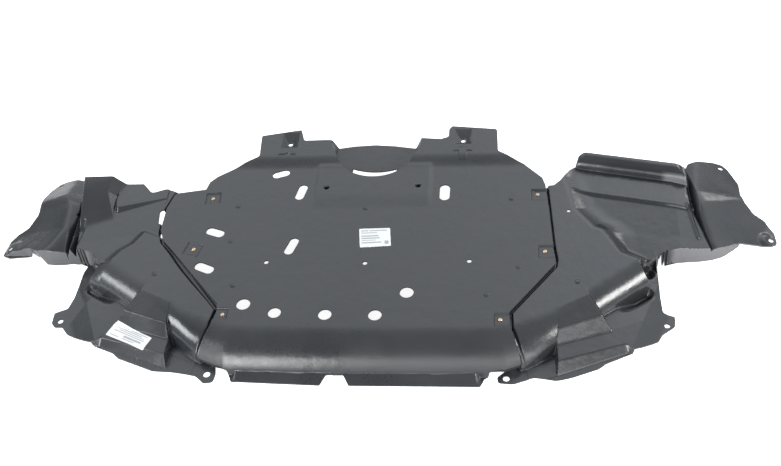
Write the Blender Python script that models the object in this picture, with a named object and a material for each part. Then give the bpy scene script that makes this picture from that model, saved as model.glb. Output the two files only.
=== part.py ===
"""Under-engine splash shield: three moulded plastic panels riveted together.

The shield lies road side up. +X is its right, +Y its rear, +Z up, and the origin
is the middle of its box, on the floor. Each panel is one sheet of even thickness,
pressed into a relief, so its shape is a plan outline with holes and a height for
each point of the plan. Sizes below are in millimetres; meshes are made in metres.
"""
import math

import bmesh
import bpy
import numpy as np
from mathutils import Vector
from mathutils.geometry import delaunay_2d_cdt

MM = 0.001

# Driving sizes
SHEET = 2.6                 # thickness of every panel
TRAY = 62.0                 # top of the centre tray above the floor
LAP = SHEET + 0.9           # a side panel lies this far below the centre panel
SIDE = TRAY - LAP           # top of the side panels beside the tray
ROLL = 71.0                 # radius of the rolled front edge
STEEP = 5.6                 # slope of the steepest drafted wall, about 80 degrees
ROLL_TILT, FULL_TILT = 69.0, 80.0       # tilt at which a rolled edge breaks off into a wall
FILLET = 4.0
SOFT = 4.0                  # sharpness with which falling edges blend

# Mesh fineness: largest distance from the true surface, and the least spacing
TOLERANCE = 0.9
SAMPLE = 4.0
EDGE_STEP = 20.0
HOLE_SIDES = 8
COARSE = 60.0
ROUNDS = 14

# Rivets, washers and their square pads
RIVETS = {
    1: (-324.0, 178.0), 2: (-336.0, 39.0), 3: (-249.0, -123.0),
    4: (327.0, 180.0), 5: (337.0, 29.0), 6: (254.0, -134.0),
}
RIVET_HEAD_R = 3.8
RIVET_HEAD_H = 1.6
RIVET_SHANK_R = 2.0
RIVET_TAIL_R = 3.2
RIVET_HOLE_R = 2.4
WASHER_R = 5.5
WASHER_H = 1.2
CONTACT = 0.5               # gap kept between touching pieces
PAD_DEPTH = 2.6
PAD_CLEAR = 0.6             # the lower panel's pads are this much deeper, and wider
PAD_GROW = 3.5

CENTRE_LABEL = ((-17, 88), (43, 90), (48, 43), (-11, 39))
LEFT_LABEL = ((-464, -109), (-385, -149), (-397, -174), (-478, -138))

# Centre panel: plan corners as (x, y, corner radius), counterclockwise from the front left
CENTRE_OUTLINE = (
    (-290, -191, 3), (-262, -203, 4), (-240, -211, 4), (-234, -213, 3), (-226, -231, 5), (-65, -236, 3),
    (-54, -219, 4), (-23, -219, 4), (-13, -236, 3), (219, -236, 5), (226, -220, 4),
    (236, -213, 4), (262, -212, 3), (290, -201, 3), (272, -150, 10), (270, -118, 8),
    (355, -3, 8), (355, 12, 12), (351, 50, 0), (343, 205, 4), (337, 226, 12),
    (302, 266, 30), (256, 296, 14), (250, 300, 6), (248, 367, 6), (154, 379, 4),
    (148, 368, 4), (148, 346, 6), (132, 339, 4), (92, 343, 4),
    (77, 334, 3), (35, 342, 40), (-6, 346, 60), (-51, 343, 40), (-84, 337, 3),
    (-103, 342, 4), (-156, 341, 5), (-166, 375, 4), (-250, 358, 6),
    (-245, 294, 10), (-274, 278, 14), (-326, 240, 16), (-339, 224, 6), (-343, 203, 4),
    (-404, 192, 8), (-414, 150, 20), (-413, 90, 6), (-402, 62, 3), (-375, 32, 6),
    (-328, -24, 20), (-263, -99, 6), (-262, -116, 5), (-268, -148, 10),
)
SLOTS = (                   # middle x, y, length, width, turn in degrees
    (-193, 246, 36, 18, 20), (-144, 192, 43, 18, 79), (145, 187, 44, 20, 90),
    (-301, 82, 39, 19, -20), (-144, 44, 44, 18, 73), (-305, -11, 41, 20, -24),
)
DRAINS = ((-214, -100, 26), (-153, -120, 24), (-60, -124, 24.5), (31, -125, 24.5), (85, -72, 25.5))
SMALL_HOLES = ((-187, 3, 9), (2, 0, 9), (197, 4, 9))
CENTRE_BOLTS = ((-186, 336, 9.5), (178, 339, 9.5))
WELLS = ((-94, 203), (91, 206))                 # blind screw wells
PIPS = ((-267, 153), (-266, 58), (-242, -55), (-10, 145), (276, 167), (287, -11), (229, -78))
HOPPER_HALF, HOPPER_FRONT, HOPPER_BACK = 18.0, 17.0, 30.0       # funnels round the rear bolts
HOPPER_DEPTH = 7.0
BOLT_FLAT = 6.5
ARROW_H = 1.5
PIP_R = 6.0
PIP_H = 1.6
PAD_SHAPES = {              # middle x, y, half length, half width, turn in degrees
    1: (-323, 177, 16, 16, 4), 2: (-337, 38, 17, 17, -14), 3: (-257, -122, 18, 14, 0),
    4: (336, 178, 22, 16, 0), 5: (346, 27, 22, 16, 0), 6: (262, -135, 20, 15, 0),
}
ROLL_START = -150.0         # where the front edge starts to roll, at the middle
ROLL_BOW = 3.0              # the ends of that line lie this much further back
ROLL_TURN = (274.0, -137.0, 21.8)               # where the roll turns rearward, and its angle
LEFT_BACK, BULGE_BACK = 10.0, 8.0       # the left lobe and its bulge lie this much further back
BRIM_FRONT, BRIM_DEPTH, BRIM_HALF, BRIM_SLOPE = -236.0, 20.0, 225.0, 0.5
REAR_RISE = 7.0
SCOOP = (-2.0, 316.0, 82.0)                     # middle and radius of the rear scoop
SCOOP_FLOOR, SCOOP_RISE = 45.0, 0.0375          # floor of the scoop at its front, and its slope
SCOOP_FLARE = 15.0                              # its sides lean out at the rear
SLIT_TOP = 262.0


def lower(a, b, radius=FILLET):
    """The lower of two heights, rounded where they cross."""
    mix = np.clip(0.5 + 0.5 * (b - a) / radius, 0.0, 1.0)
    return b + (a - b) * mix - radius * mix * (1.0 - mix)


def higher(a, b, radius=FILLET):
    """The higher of two heights, rounded where they cross."""
    return -lower(-a, -b, radius)


def fade(value, start, end):
    """0 up to start, 1 from end on, smooth between."""
    t = np.clip((value - start) / (end - start), 0.0, 1.0)
    return t * t * (3.0 - 2.0 * t)


def past(x, y, p, q):
    """Distance of a point to the right of the line that runs from p to q."""
    along_x, along_y = q[0] - p[0], q[1] - p[1]
    return ((x - p[0]) * along_y - (y - p[1]) * along_x) / math.hypot(along_x, along_y)


def to_path(x, y, points):
    """Distance of a point to the right of a path, negative on its left."""
    best = np.full(np.shape(x), 1e9)
    signed = np.zeros(np.shape(x))
    for p, q in zip(points, points[1:]):
        dx, dy = q[0] - p[0], q[1] - p[1]
        t = np.clip(((x - p[0]) * dx + (y - p[1]) * dy) / (dx * dx + dy * dy), 0.0, 1.0)
        away = np.hypot(x - p[0] - t * dx, y - p[1] - t * dy)
        side = np.where(past(x, y, p, q) >= 0.0, 1.0, -1.0)
        nearer = away < best
        best = np.where(nearer, away, best)
        signed = np.where(nearer, away * side, signed)
    return signed


def turned(x, y, cx, cy, degrees):
    """Coordinates of a point in a frame at (cx, cy) turned by an angle."""
    c, s = math.cos(math.radians(degrees)), math.sin(math.radians(degrees))
    return (x - cx) * c + (y - cy) * s, (y - cy) * c - (x - cx) * s


def rolled(distance, top, radius=ROLL, tilt=ROLL_TILT):
    """Height of an edge rolled down, at a distance outward of where it starts to turn."""
    limit = math.sin(math.radians(tilt))
    t = np.clip(distance / radius, 0.0, limit)
    curve = top - radius * (1.0 - np.sqrt(1.0 - t * t))
    return curve - STEEP * np.maximum(distance - limit * radius, 0.0)


def roll_front(x, y):
    """Distance in front of the line where the front edge starts to roll."""
    return ROLL_START + ROLL_BOW * ((x - 20.0) / 250.0) ** 2 - y


def roll_turn(x, y):
    """The same for the stretch of the roll that turns rearward, on the right."""
    px, py, angle = ROLL_TURN
    return past(x, y, (px, py), (px + math.cos(math.radians(angle)), py + math.sin(math.radians(angle))))


def fallen(top, *heights):
    """The lowest of several heights that leave the same level, with round valleys."""
    drops = sum(np.maximum(top - height, 0.0) ** SOFT for height in heights)
    return top - drops ** (1.0 / SOFT)


def front_edge(x, y, top):
    """The rolled front edge over the whole width: a bowed middle and two turned ends."""
    ends = np.maximum(roll_turn(x, y), roll_turn(-x, y - LEFT_BACK))
    return rolled(higher(roll_front(x, y), ends, 2.5), top)


def rivet_pads(x, y, grow=0.0, extra=0.0):
    """Depth of the square rivet pads; those of the panel underneath are wider and deeper."""
    depth = np.zeros(np.shape(x))
    for cx, cy, half_u, half_v, angle in PAD_SHAPES.values():
        u, v = turned(x, y, cx, cy, angle)
        inside = np.minimum(half_u + grow - np.abs(u), half_v + grow - np.abs(v))
        depth = np.maximum(depth, (PAD_DEPTH + extra) * fade(inside, 0.0, 3.0))
    return depth


def domes(x, y, places, radius, height):
    """Low round bumps, or dimples where the height is negative."""
    z = np.zeros(np.shape(x))
    for cx, cy in places:
        r = np.hypot(x - cx, y - cy) / radius
        z = z + height * (1.0 - fade(r, 0.35, 1.0))
    return z


def arrow(x, y, with_body):
    """Distance inside a moulded arrow that points rearward, its tip near y = 0."""
    head = np.minimum(-4.0 - y - 0.8 * np.abs(x), y + 22.0)
    if not with_body:
        return np.minimum(head, 0.8 * np.abs(x) + y + 17.0)
    body = np.minimum(9.5 - np.abs(x), np.minimum(y + 44.0, -18.0 - y))
    return np.maximum(head, body)


def rear_relief(x, y):
    """Rise to the rear bolt tabs, the raised field before the scoop and the bolt hoppers."""
    rise = REAR_RISE * fade(y, 258.0, 296.0) * (1.0 - fade(np.abs(x), 268.0, 330.0))
    field = 2.2 * fade(118.0 - np.abs(x), -4.0, 8.0) * fade(y, 140.0, 185.0)
    field = field * (1.0 - fade(y, 262.0, 276.0))
    hoppers = np.zeros(np.shape(x))
    for cx, cy, _ in CENTRE_BOLTS:
        beside = (HOPPER_HALF - np.abs(x - cx)) / (HOPPER_HALF - BOLT_FLAT)
        before = (y - cy + HOPPER_FRONT) / (HOPPER_FRONT - BOLT_FLAT)
        behind = (cy + HOPPER_BACK - y) / (HOPPER_BACK - BOLT_FLAT)
        share = np.clip(np.minimum(np.minimum(beside, before), behind), 0.0, 1.0)
        hoppers = np.maximum(hoppers, HOPPER_DEPTH * share)
        field = field + ARROW_H * fade(arrow(x - cx, y - cy + HOPPER_FRONT, cx > 0.0), 0.0, 2.5)
    return rise + field - hoppers


def scoop(x, y, base):
    """The half-round scoop: a low floor behind the drain slit, its steep sides leaning out at the rear."""
    cx, cy, radius = SCOOP
    flare = fade(y, cy - 30.0, cy + 28.0)
    inside = radius + SCOOP_FLARE * flare - np.hypot(x - cx, y - cy)
    ramp = SCOOP_FLOOR + SCOOP_RISE * (y - SLIT_TOP)
    sides = base - (STEEP - 4.0 * flare) * np.maximum(inside, 0.0)
    inner = np.minimum(base, higher(ramp, sides, 3.0))
    return np.where(inside > 0.0, inner, base)


def brim(x, y):
    """The narrow brim along the foot of the rolled edge, which falls to the floor at its front."""
    rise = BRIM_SLOPE * np.clip(y - BRIM_FRONT, 0.0, BRIM_DEPTH)
    return SHEET + rise * (1.0 - fade(np.abs(x + 4.0), BRIM_HALF - 12.0, BRIM_HALF))


def centre_height(x, y):
    """Top surface of the centre panel."""
    z = front_edge(x, y, TRAY)
    z = z + rear_relief(x, y)
    z = z - rivet_pads(x, y) + domes(x, y, PIPS, PIP_R, PIP_H)
    z = z + domes(x, y, WELLS, 6.5, -9.0)
    z = scoop(x, y, z)
    return higher(z, brim(x, y), 3.0)


# Front lobes, in the right-hand lobe's own coordinates
RIGHT_SEAM = ((343, 207), (351, 50), (355, 10), (353, -6), (271, -116), (272, -150), (291, -194),
              (300, -232))
LEFT_SEAM = (
    (-343, 203), (-404, 192), (-414, 150), (-413, 90), (-402, 62), (-375, 32), (-328, -24),
    (-262, -108), (-269, -150), (-292, -190), (-300, -230),
)
CHANNEL_OUT, CHANNEL_HALF, CHANNEL_DEPTH = 1.8, 3.2, 6.0
WEDGE = 2.5                 # the left channel is this much wider in its middle
LOBE_TURN = 21.7            # the box and its rib run at this angle
BOX_START, BOX_EDGE, BOX_FOOT = 220.0, 264.5, 282.0     # distances across that direction
RIB_EDGE, RIB_EDGE_Z, RIB_SLOPE, RIB_FOOT = 316.0, 18.0, 1.2, 328.0
RIB_END = 390.0             # distance along it
BOX_EDGE_Z, BOX_FOOT_Z = 48.0, 25.0
BOX_LEFT = ((346.0, -120.0), (352.0, -212.0))
BOX_RIGHT = ((418.0, -66.0), (441.0, -122.0))
BULGE = ((420.0, -70.0), (506.0, -3.0))         # where the bulge starts to roll over
BULGE_LENGTH = 109.0
BULGE_R, BULGE_EARLY, BULGE_FOOT_Z = 50.0, 17.0, 20.0
BULGE_WALL = 27.5           # its upright front wall stands this far in front of that line
BULGE_END = ((512.0, 10.0), (526.5, -30.0))
TROUGH_DEPTH, TROUGH_HALF = 16.0, 9.0           # hollow along the foot of the bulge
OUTER_RIDGE = ((532.0, -40.0), (489.0, -148.0))
LEFT_STRETCH = 1.12         # the left lobe is wider past this x
STRETCH_FROM = 350.0

# Right wing
RIGHT_LAND = ((374, 260), (374, 232), (391, 140), (424, 90), (441, 80), (472, 24), (509, 4))
BEAD = ((396.0, 199.0), (611.0, 152.0))
CREASE = ((422.0, 93.0), (623.0, 81.0))
PLATE_BORDER = ((603, 216), (613, 154), (624, 83))
BAR_FOOT = ((410.0, 264.5), (596.0, 223.0))
BAR_START, BAR_END, BAR_TOP, BAR_R = 405.0, 618.0, 72.0, 23.0
LEDGE_Z, STRIP_Z = 48.0, 41.0
RIGHT_GROOVE = ((624, 335), (622, 207), (624, 150), (638, 90), (648, 52))
RIGHT_CREST = ((652, 345), (635, 225), (633, 198), (641, 169), (643, 125), (652, 78), (664, 50))
RIGHT_FOLD = ((643.0, 169.0), (719.0, 198.0))
RIGHT_FRONT = (
    (300, 0), (512, 14), (542, 33), (566, 50), (588, 55), (605, 56), (628, 58), (648, 61),
    (668, 68), (690, 81), (702, 88), (790, 89),
)
RIGHT_FRONT_Z = 41.0
GROOVE_Z = 34.0
FRONT_WALL = 12.0           # slope of the front band
LIP = ((541.0, 33.0), (545.0, 10.0))
RIGHT_TIP_PAD = ((763.0, 106.0),)
RIGHT_POCKET = ((525.0, 12.0),)


def lobe_frame(x, y):
    """Distances across and along the direction in which the lobe's box runs."""
    c, s = math.cos(math.radians(LOBE_TURN)), math.sin(math.radians(LOBE_TURN))
    return x * s - y * c, x * c + y * s


def lobe_box(x, y, across):
    """The stepped box that stands out of the roll: a sloping top, a steep strip, an end wall."""
    top = SIDE - (SIDE - BOX_EDGE_Z) / (BOX_EDGE - BOX_START) * (across - BOX_START)
    strip = BOX_EDGE_Z - (BOX_EDGE_Z - BOX_FOOT_Z) / (BOX_FOOT - BOX_EDGE) * (across - BOX_EDGE)
    end = 40.0 + 2.4 * past(x, y, *BOX_RIGHT)
    return lower(lower(top, strip, 2.0), end, 5.0)


def lobe_skirt(x, y, across, along):
    """The apron in front of the box and the bulge: a hollow below the bulge and the long rib."""
    z = BOX_FOOT_Z - 0.08 * np.clip(across - BOX_FOOT, 0.0, 60.0) - 0.04 * (along - 262.0)
    z = z + 0.36 * np.minimum(past(x, y, *OUTER_RIDGE), 0.0)
    (px, py), (qx, qy) = BULGE
    beside = ((x - px) * (qx - px) + (y - py) * (qy - py)) / BULGE_LENGTH
    hollow = (past(x, y, *BULGE) - BULGE_WALL - 8.0) / TROUGH_HALF
    shown = fade(beside, 25.0, 85.0) * (1.0 - fade(beside, 98.0, 114.0))
    z = z - TROUGH_DEPTH * shown * np.exp(-hollow ** 2)
    face = RIB_EDGE_Z - RIB_SLOPE * (across - RIB_EDGE)
    rib = lower(face, SHEET + STEEP * (RIB_FOOT - across), 1.5)
    return lower(z, rib + 30.0 * fade(along, RIB_END - 10.0, RIB_END + 10.0), 1.5)


def lobe(x, y, back=0.0):
    """The front lobe of a side panel; back moves its bulge rearward."""
    across, along = lobe_frame(x, y)
    left_wall = SHEET + STEEP * np.maximum(-past(x, y, *BOX_LEFT), 0.0)
    box = lower(lobe_box(x, y, across), left_wall, 3.0)
    skirt = lower(lobe_skirt(x, y - back, across, along), left_wall, 2.0)
    end = 34.0 + 3.4 * past(x, y, *BULGE_END) + 3.0 * np.maximum(y - 8.0, 0.0)
    before = past(x, y - back, *BULGE)
    wall = BULGE_FOOT_Z + STEEP * (BULGE_WALL + 2.0 - before)
    bulge = lower(rolled(before + BULGE_EARLY, SIDE, BULGE_R), wall, 3.0)
    bulge = lower(bulge, end, 5.0)
    body = fallen(SIDE, rolled(roll_turn(x, y), SIDE), bulge)
    return higher(higher(body, box, 4.0), skirt, 3.0)


def bent(value, width):
    """0 where the value is negative and the value less a constant past width, with a round change."""
    t = np.clip(value, 0.0, width)
    return t * t / (2.0 * width) + np.maximum(value - width, 0.0)


def land(x, y, path, slope, soft):
    """The level field beside the tray, falling away past its boundary path."""
    return SIDE - slope * bent(-to_path(x, y, path), soft)


def beyond_seam(x, y):
    """Distance outward from the edge of the centre panel, negative under it."""
    return np.where(x > 0.0, -to_path(x, y, RIGHT_SEAM), to_path(x, y, LEFT_SEAM))


def seam_channel(x, y):
    """Depth of the channel that each side panel has along the edge of the centre panel."""
    wedge = WEDGE * (x < 0.0) * np.exp(-((y + 20.0) / 55.0) ** 2)
    out = (beyond_seam(x, y) - CHANNEL_OUT - wedge) / (CHANNEL_HALF + wedge)
    return CHANNEL_DEPTH * np.exp(-out ** 4)


def tongue_drop(x, y):
    """Depth by which a side panel's tongue drops to the floor under the centre panel's front corner."""
    return STEEP * bent(-beyond_seam(x, y) - 1.0, 2.0) * (1.0 - fade(y, -174.0, -160.0))


def lower_pads(x, y):
    """Depth of a side panel's pads, which end where the centre panel's edge does."""
    return rivet_pads(x, y, PAD_GROW, PAD_CLEAR) * (1.0 - fade(beyond_seam(x, y), 2.5, 6.0))


def soft_positive(value, width):
    """The value where it is positive and 0 where it is negative, with a round change."""
    return 0.5 * (value + np.sqrt(value * value + width * width))


def flap(x, y, crest, fold, slopes, crest_z):
    """The outer flap: a saddle falling outward from its crest, and rearward behind a fold."""
    outward = -to_path(x, y, crest)
    top = np.clip(crest_z[0] + crest_z[1] * (y - crest_z[2]), 28.0, 58.0)
    z = top - slopes[0] * soft_positive(outward, 8.0) - 0.25 * soft_positive(-outward, 8.0)
    return z - slopes[1] * soft_positive(-past(x, y, *fold), 12.0)


def roll_bar(x, y):
    """The round bar along the rear of the right wing, with rounded ends."""
    front = rolled(past(x, y, *BAR_FOOT) + BAR_R, BAR_TOP, BAR_R, FULL_TILT)
    ends = rolled(np.maximum(BAR_START - x, x - BAR_END) + BAR_R, BAR_TOP, BAR_R, FULL_TILT)
    return fallen(BAR_TOP, front, ends)


def right_wing(x, y):
    """Roll bar, ledge, bead, sloping plate and front strip, then the groove and the saddle flap."""
    before_bead = past(x, y, *BEAD)
    before_crease = past(x, y, *CREASE)
    share = np.clip(-before_crease / (before_bead - before_crease), 0.0, 1.0)
    z = STRIP_Z + (LEDGE_Z - STRIP_Z) * share - 0.07 * np.maximum(before_crease, 0.0)
    ends = fade(x, 388.0, 404.0) * (1.0 - fade(x, 606.0, 616.0))
    z = z + 5.0 * np.exp(-(before_bead / 3.4) ** 2) * ends
    z = z + 3.0 * np.exp(-(to_path(x, y, PLATE_BORDER) / 3.0) ** 2) * (1.0 - fade(y, 158.0, 175.0))
    z = z - 0.13 * np.maximum(x - 590.0, 0.0)
    west = to_path(x, y, RIGHT_GROOVE)
    groove = GROOVE_Z - 0.12 * np.maximum(100.0 - y, 0.0)
    z = lower(z, groove + 2.2 * (west - 1.0), 3.0)
    z = higher(z, roll_bar(x, y), 3.0)
    saddle = flap(x, y, RIGHT_CREST, RIGHT_FOLD, (0.36, 0.24), (31.0, 0.20, 62.0))
    saddle = lower(saddle, groove + 2.2 * (-west - 3.0), 7.0)
    return higher(z, saddle, 2.0)


def pleats(x, start, end, pitch, depth):
    """Small upright pleats along a wall between two places."""
    wave = 0.5 - 0.5 * np.cos(2.0 * math.pi * (x - start) / pitch)
    return depth * wave * fade(x, start, start + 2.0) * (1.0 - fade(x, end - 2.0, end))


def right_height(x, y):
    """Top surface of the right panel."""
    wing = right_wing(x, y) + domes(x, y, RIGHT_TIP_PAD, 24.0, 5.0)
    before = to_path(x, y, RIGHT_FRONT) + pleats(x, 545.0, 566.0, 7.0, 3.0)
    wing = lower(wing, RIGHT_FRONT_Z - FRONT_WALL * before, 3.0)
    lip = 37.0 - 1.6 * (33.0 - y) - STEEP * np.abs(past(x, y, *LIP))
    slope = 0.95 - 0.45 * fade(y, 30.0, 90.0)
    z = fallen(SIDE, land(x, y, RIGHT_LAND, slope, 14.0), lobe(x, y))
    z = higher(z, wing, 4.0 + 9.0 * fade(y, 30.0, 90.0))
    z = higher(z, lower(lip, 37.0 + 0.0 * x, 2.0), 2.0)
    z = z - lower_pads(x, y) + domes(x, y, RIGHT_PIPS, PIP_R, PIP_H)
    z = z + domes(x, y, RIGHT_POCKET, 16.0, -8.0) - seam_channel(x, y) - tongue_drop(x, y)
    return higher(z, SHEET, 2.0)


# Left wing, in mirrored coordinates, so that +X runs outward here as well
LEFT_LAND = ((395, 72), (404, 66), (446, 85), (460, 56), (481, 37), (494, 15))
LEFT_CREASE = ((460.0, 85.0), (586.0, 72.0))
RECESS_Z, RECESS_OUT, RECESS_BACK = 55.0, 0.066, 0.055
STEP_FOOT = ((416.0, 181.0), (526.0, 146.0))
STEP_TOP_Z = 60.5
ARCH_FRONT = ((524.0, 132.0), (593.0, 122.0))
ARCH_FOOT_Z, ARCH_SLOPE, ARCH_TOP = 50.5, 0.38, 84.0
STEP_END = 524.0
ARCH_FOOT = ((593.0, 124.0), (611.0, 226.0))      # valley between the arch and the saddle flap
ARCH_EDGE = ((524.0, 131.0), (545.0, 190.0), (539.0, 224.0))
LEFT_CREST = ((662, 345), (644, 215), (624, 168), (620, 113), (640, 69), (656, 50))
LEFT_FOLD = ((640.0, 188.0), (706.0, 205.0))
LEFT_SLOTS = (((607, 142), (607, 60)), ((585, 128), (590, 70)))
SLOT_FLOOR = 38.5
SLOT_RIB = ((598.0, 150.0), (597.0, 60.0))
LEFT_FRONT = (
    (300, 0), (480, 8), (531, 24), (546, 44), (566, 52), (583, 57), (600, 56), (640, 55),
    (666, 59), (690, 77), (704, 80), (790, 80),
)
LEFT_FRONT_Z = 45.0
LEFT_TIP_PAD = ((737.0, 92.0),)
SEAM_OUT = 420.0            # up to here the centre panel lies over the left one


def arch(x, y):
    """The tall arch at the rear of the left wing: a sloping face with a side that falls inward."""
    face = lower(ARCH_FOOT_Z - ARCH_SLOPE * past(x, y, *ARCH_FRONT), ARCH_TOP + 0.1 * (y - 215.0), 8.0)
    inside = face + 0.95 * np.minimum(to_path(x, y, ARCH_EDGE), 0.0)
    outer = 52.0 - 3.2 * past(x, y, *ARCH_FOOT)
    return lower(inside, outer, 8.0)


def left_wing(x, y):
    """Recess with a step and flange behind it, arch, two deep slots with a rib, saddle flap."""
    before_crease = past(x, y, *LEFT_CREASE)
    tilt = RECESS_BACK * np.maximum(-before_crease, 0.0)
    z = RECESS_Z - RECESS_OUT * (x - 420.0) + tilt
    ended = fade(x, STEP_END - 8.0, STEP_END + 8.0)
    behind = -past(x, y, *STEP_FOOT) * (1.0 - ended) - 8.0 * ended
    flange = lower(z + 1.3 * behind, STEP_TOP_Z + 0.0 * x, 3.0)
    z = higher(z, flange, 3.0)
    z = higher(z, arch(x, y), 3.0)
    z = lower(z, 50.0 - 3.6 * past(x, y, *ARCH_FOOT), 4.0)
    outer, inner = (to_path(x, y, line) for line in LEFT_SLOTS)
    depth = SLOT_FLOOR + 30.0 * fade(y, 105.0, 155.0)
    z = lower(z, depth + 1.8 * np.maximum(inner - 3.0, 0.0) + 40.0 * fade(y, 145.0, 175.0), 5.0)
    rib = 47.0 - 0.05 * np.maximum(120.0 - y, 0.0) - 2.6 * np.abs(past(x, y, *SLOT_RIB))
    z = higher(z, rib - 3.0 * np.maximum(y - 140.0, 0.0), 2.0)
    saddle = flap(x, y, LEFT_CREST, LEFT_FOLD, (0.43, 0.44), (44.0, 0.12, 60.0))
    saddle = lower(saddle, depth + 2.2 * (-outer - 3.0) + 20.0 * fade(y, 150.0, 190.0), 6.0)
    return higher(z, saddle, 2.0)


def left_height(x, y):
    """Top surface of the left panel."""
    out = -x
    wing = left_wing(out, y) + domes(out, y, LEFT_TIP_PAD, 24.0, 5.0)
    before = to_path(out, y, LEFT_FRONT) + pleats(out, 563.0, 584.0, 7.0, 3.0)
    wing = lower(wing, LEFT_FRONT_Z - FRONT_WALL * before, 3.0)
    lobe_x = np.where(out > STRETCH_FROM, STRETCH_FROM + (out - STRETCH_FROM) / LEFT_STRETCH, out)
    z = fallen(SIDE, land(out, y, LEFT_LAND, 0.62, 3.0), lobe(lobe_x, y - LEFT_BACK, BULGE_BACK))
    z = np.minimum(higher(z, wing, 4.0), SIDE + 1.5 * np.maximum(out - SEAM_OUT, 0.0))
    z = z - lower_pads(x, y) + domes(out, y, LEFT_PIPS, PIP_R, PIP_H)
    return higher(z - seam_channel(x, y) - tongue_drop(x, y), SHEET, 2.0)


RIGHT_OUTLINE = (
    (310, 196, 3), (308, 8, 6), (236, -100, 6), (237, -143, 5), (270, -145, 0), (274, -151, 0),
    (285, -176, 0), (269, -184, 3), (262, -204, 3), (248, -217, 6), (250, -228, 6),
    (276, -230, 20), (312, -216, 20), (352, -222, 30), (378, -215, 12), (425, -196, 6),
    (438, -185, 8), (502, -154, 20), (533, -136, 14), (541, -121, 8), (565, -102, 5),
    (567, -80, 4), (546, -74, 6), (544, -40, 30), (545, 16, 8), (547, 40, 3),
    (567, 46, 3), (588, 51, 8), (628, 54, 20), (650, 58, 12), (669, 65.5, 8), (691, 79, 6),
    (703, 86.5, 6), (740, 91, 10), (764, 91, 8), (776, 96, 8), (775, 125, 14), (762, 154, 8),
    (741, 165, 8),
    (727, 188, 20), (722, 210, 30), (725, 246, 30), (711, 294, 10), (702, 307, 8), (686, 311, 12),
    (654, 307, 12), (632, 300, 6), (622, 276, 3), (613, 248, 3),
    (422, 288, 5), (411, 283, 5), (405, 268, 4), (393, 256, 12), (373, 222, 10),
    (360, 208, 10), (344, 205, 4),
)
RIGHT_BOLTS = ((264, -219, 12), (551, -101, 10), (697, 294, 10), (766, 106, 10))
RIGHT_HOLES = ((385, 136, 7),)
RIGHT_PIPS = ((393, -44),)
LEFT_OUTLINE = (            # mirrored, as the left wing above
    (306, 188, 3), (306, 140, 6), (327, 104, 6), (327, 64, 6), (316, 48, 6), (316, 28, 6),
    (335, 8, 6), (334, -2, 4), (320, -22, 4), (236, -98, 6), (238, -131, 5), (265, -134, 0),
    (270, -148, 0), (285, -173, 0), (264, -182, 3), (259, -203, 3), (257, -214, 8),
    (259, -231, 8), (276, -234, 8), (294, -218, 14), (340, -210, 30), (376, -208, 16),
    (448, -180, 8), (462, -168, 8), (519, -145, 20), (562, -125, 10), (577, -108, 5),
    (592, -108, 5), (600, -99, 5), (602, -74, 5), (578, -63, 10), (573, -34, 20),
    (571, 30, 8), (567, 46, 3), (583, 53, 4), (640, 51, 12), (655, 53.5, 8), (668, 58.5, 8),
    (691, 75.5, 6), (704, 73.5, 8), (742, 70, 8), (757, 76, 6), (753, 115, 14), (742, 137, 8),
    (720, 146, 12), (702, 172, 16),
    (707, 222, 30), (704, 254, 14), (695, 280, 8), (682, 286, 8), (650, 287, 12), (628, 283, 8),
    (619, 252, 6), (610, 226, 3), (598, 222, 3), (541, 224, 12), (511, 223, 6), (479, 223, 5), (456, 196, 10),
    (428, 206, 10), (416, 205, 4), (402, 198, 3),
)
LEFT_BOLTS = ((273, -215, 13), (584, -94, 10.5), (685, 268, 10), (741, 87, 10))
LEFT_PIPS = ((400, -23),)
LEFT_SLIT = ((420, 130, 38, 13, 84), (411, 86, 16, 10, 70))


def arc_corner(before, corner, after, radius, step):
    """Points of a rounded outline corner, on a curve that touches both its edges."""
    here = np.array(corner, dtype=float)
    back, ahead = np.array(before) - here, np.array(after) - here
    back_length, ahead_length = np.hypot(*back), np.hypot(*ahead)
    opening = math.acos(max(-1.0, min(1.0, float(back @ ahead) / (back_length * ahead_length))))
    if radius <= 0.0 or opening > math.radians(176.0):
        return [corner]
    reach = min(radius / math.tan(opening / 2), 0.45 * back_length, 0.45 * ahead_length)
    start, end = here + back / back_length * reach, here + ahead / ahead_length * reach
    arc = (math.pi - opening) * reach * math.tan(opening / 2)
    count = max(1, math.ceil(arc / step))
    points = []
    for i in range(count + 1):
        t = i / count
        point = (1 - t) ** 2 * start + 2 * t * (1 - t) * here + t * t * end
        points.append((float(point[0]), float(point[1])))
    return points


def outline(corners, arc_step=6.0, edge_step=EDGE_STEP):
    """A closed plan outline with rounded corners and no stretch longer than edge_step."""
    rounded = []
    total = len(corners)
    for i, (x, y, radius) in enumerate(corners):
        before, after = corners[i - 1][:2], corners[(i + 1) % total][:2]
        rounded.extend(arc_corner(before, (x, y), after, radius, arc_step))
    points = []
    for i, start in enumerate(rounded):
        points.extend(split_edge(start, rounded[(i + 1) % len(rounded)], edge_step))
    return points


def split_edge(start, end, step, finer=6):
    """Points along a straight edge, closer together where it crosses the side of a rivet pad."""
    length = math.hypot(end[0] - start[0], end[1] - start[1])
    pieces = max(1, math.ceil(length / step)) * finer
    share = np.arange(-1, pieces + 1) / pieces
    x, y = start[0] + (end[0] - start[0]) * share, start[1] + (end[1] - start[1]) * share
    change = np.abs(np.diff(rivet_pads(x, y, PAD_GROW))) + np.abs(np.diff(rivet_pads(x, y)))
    return [(float(x[k + 1]), float(y[k + 1])) for k in range(pieces)
            if k % finer == 0 or max(change[k], change[k + 1]) > 0.1]


def ring(cx, cy, diameter, sides=HOLE_SIDES):
    """Corners of a round hole."""
    radius = diameter / 2
    angles = [2 * math.pi * i / sides for i in range(sides)]
    return [(cx + radius * math.cos(a), cy + radius * math.sin(a)) for a in angles]


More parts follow.
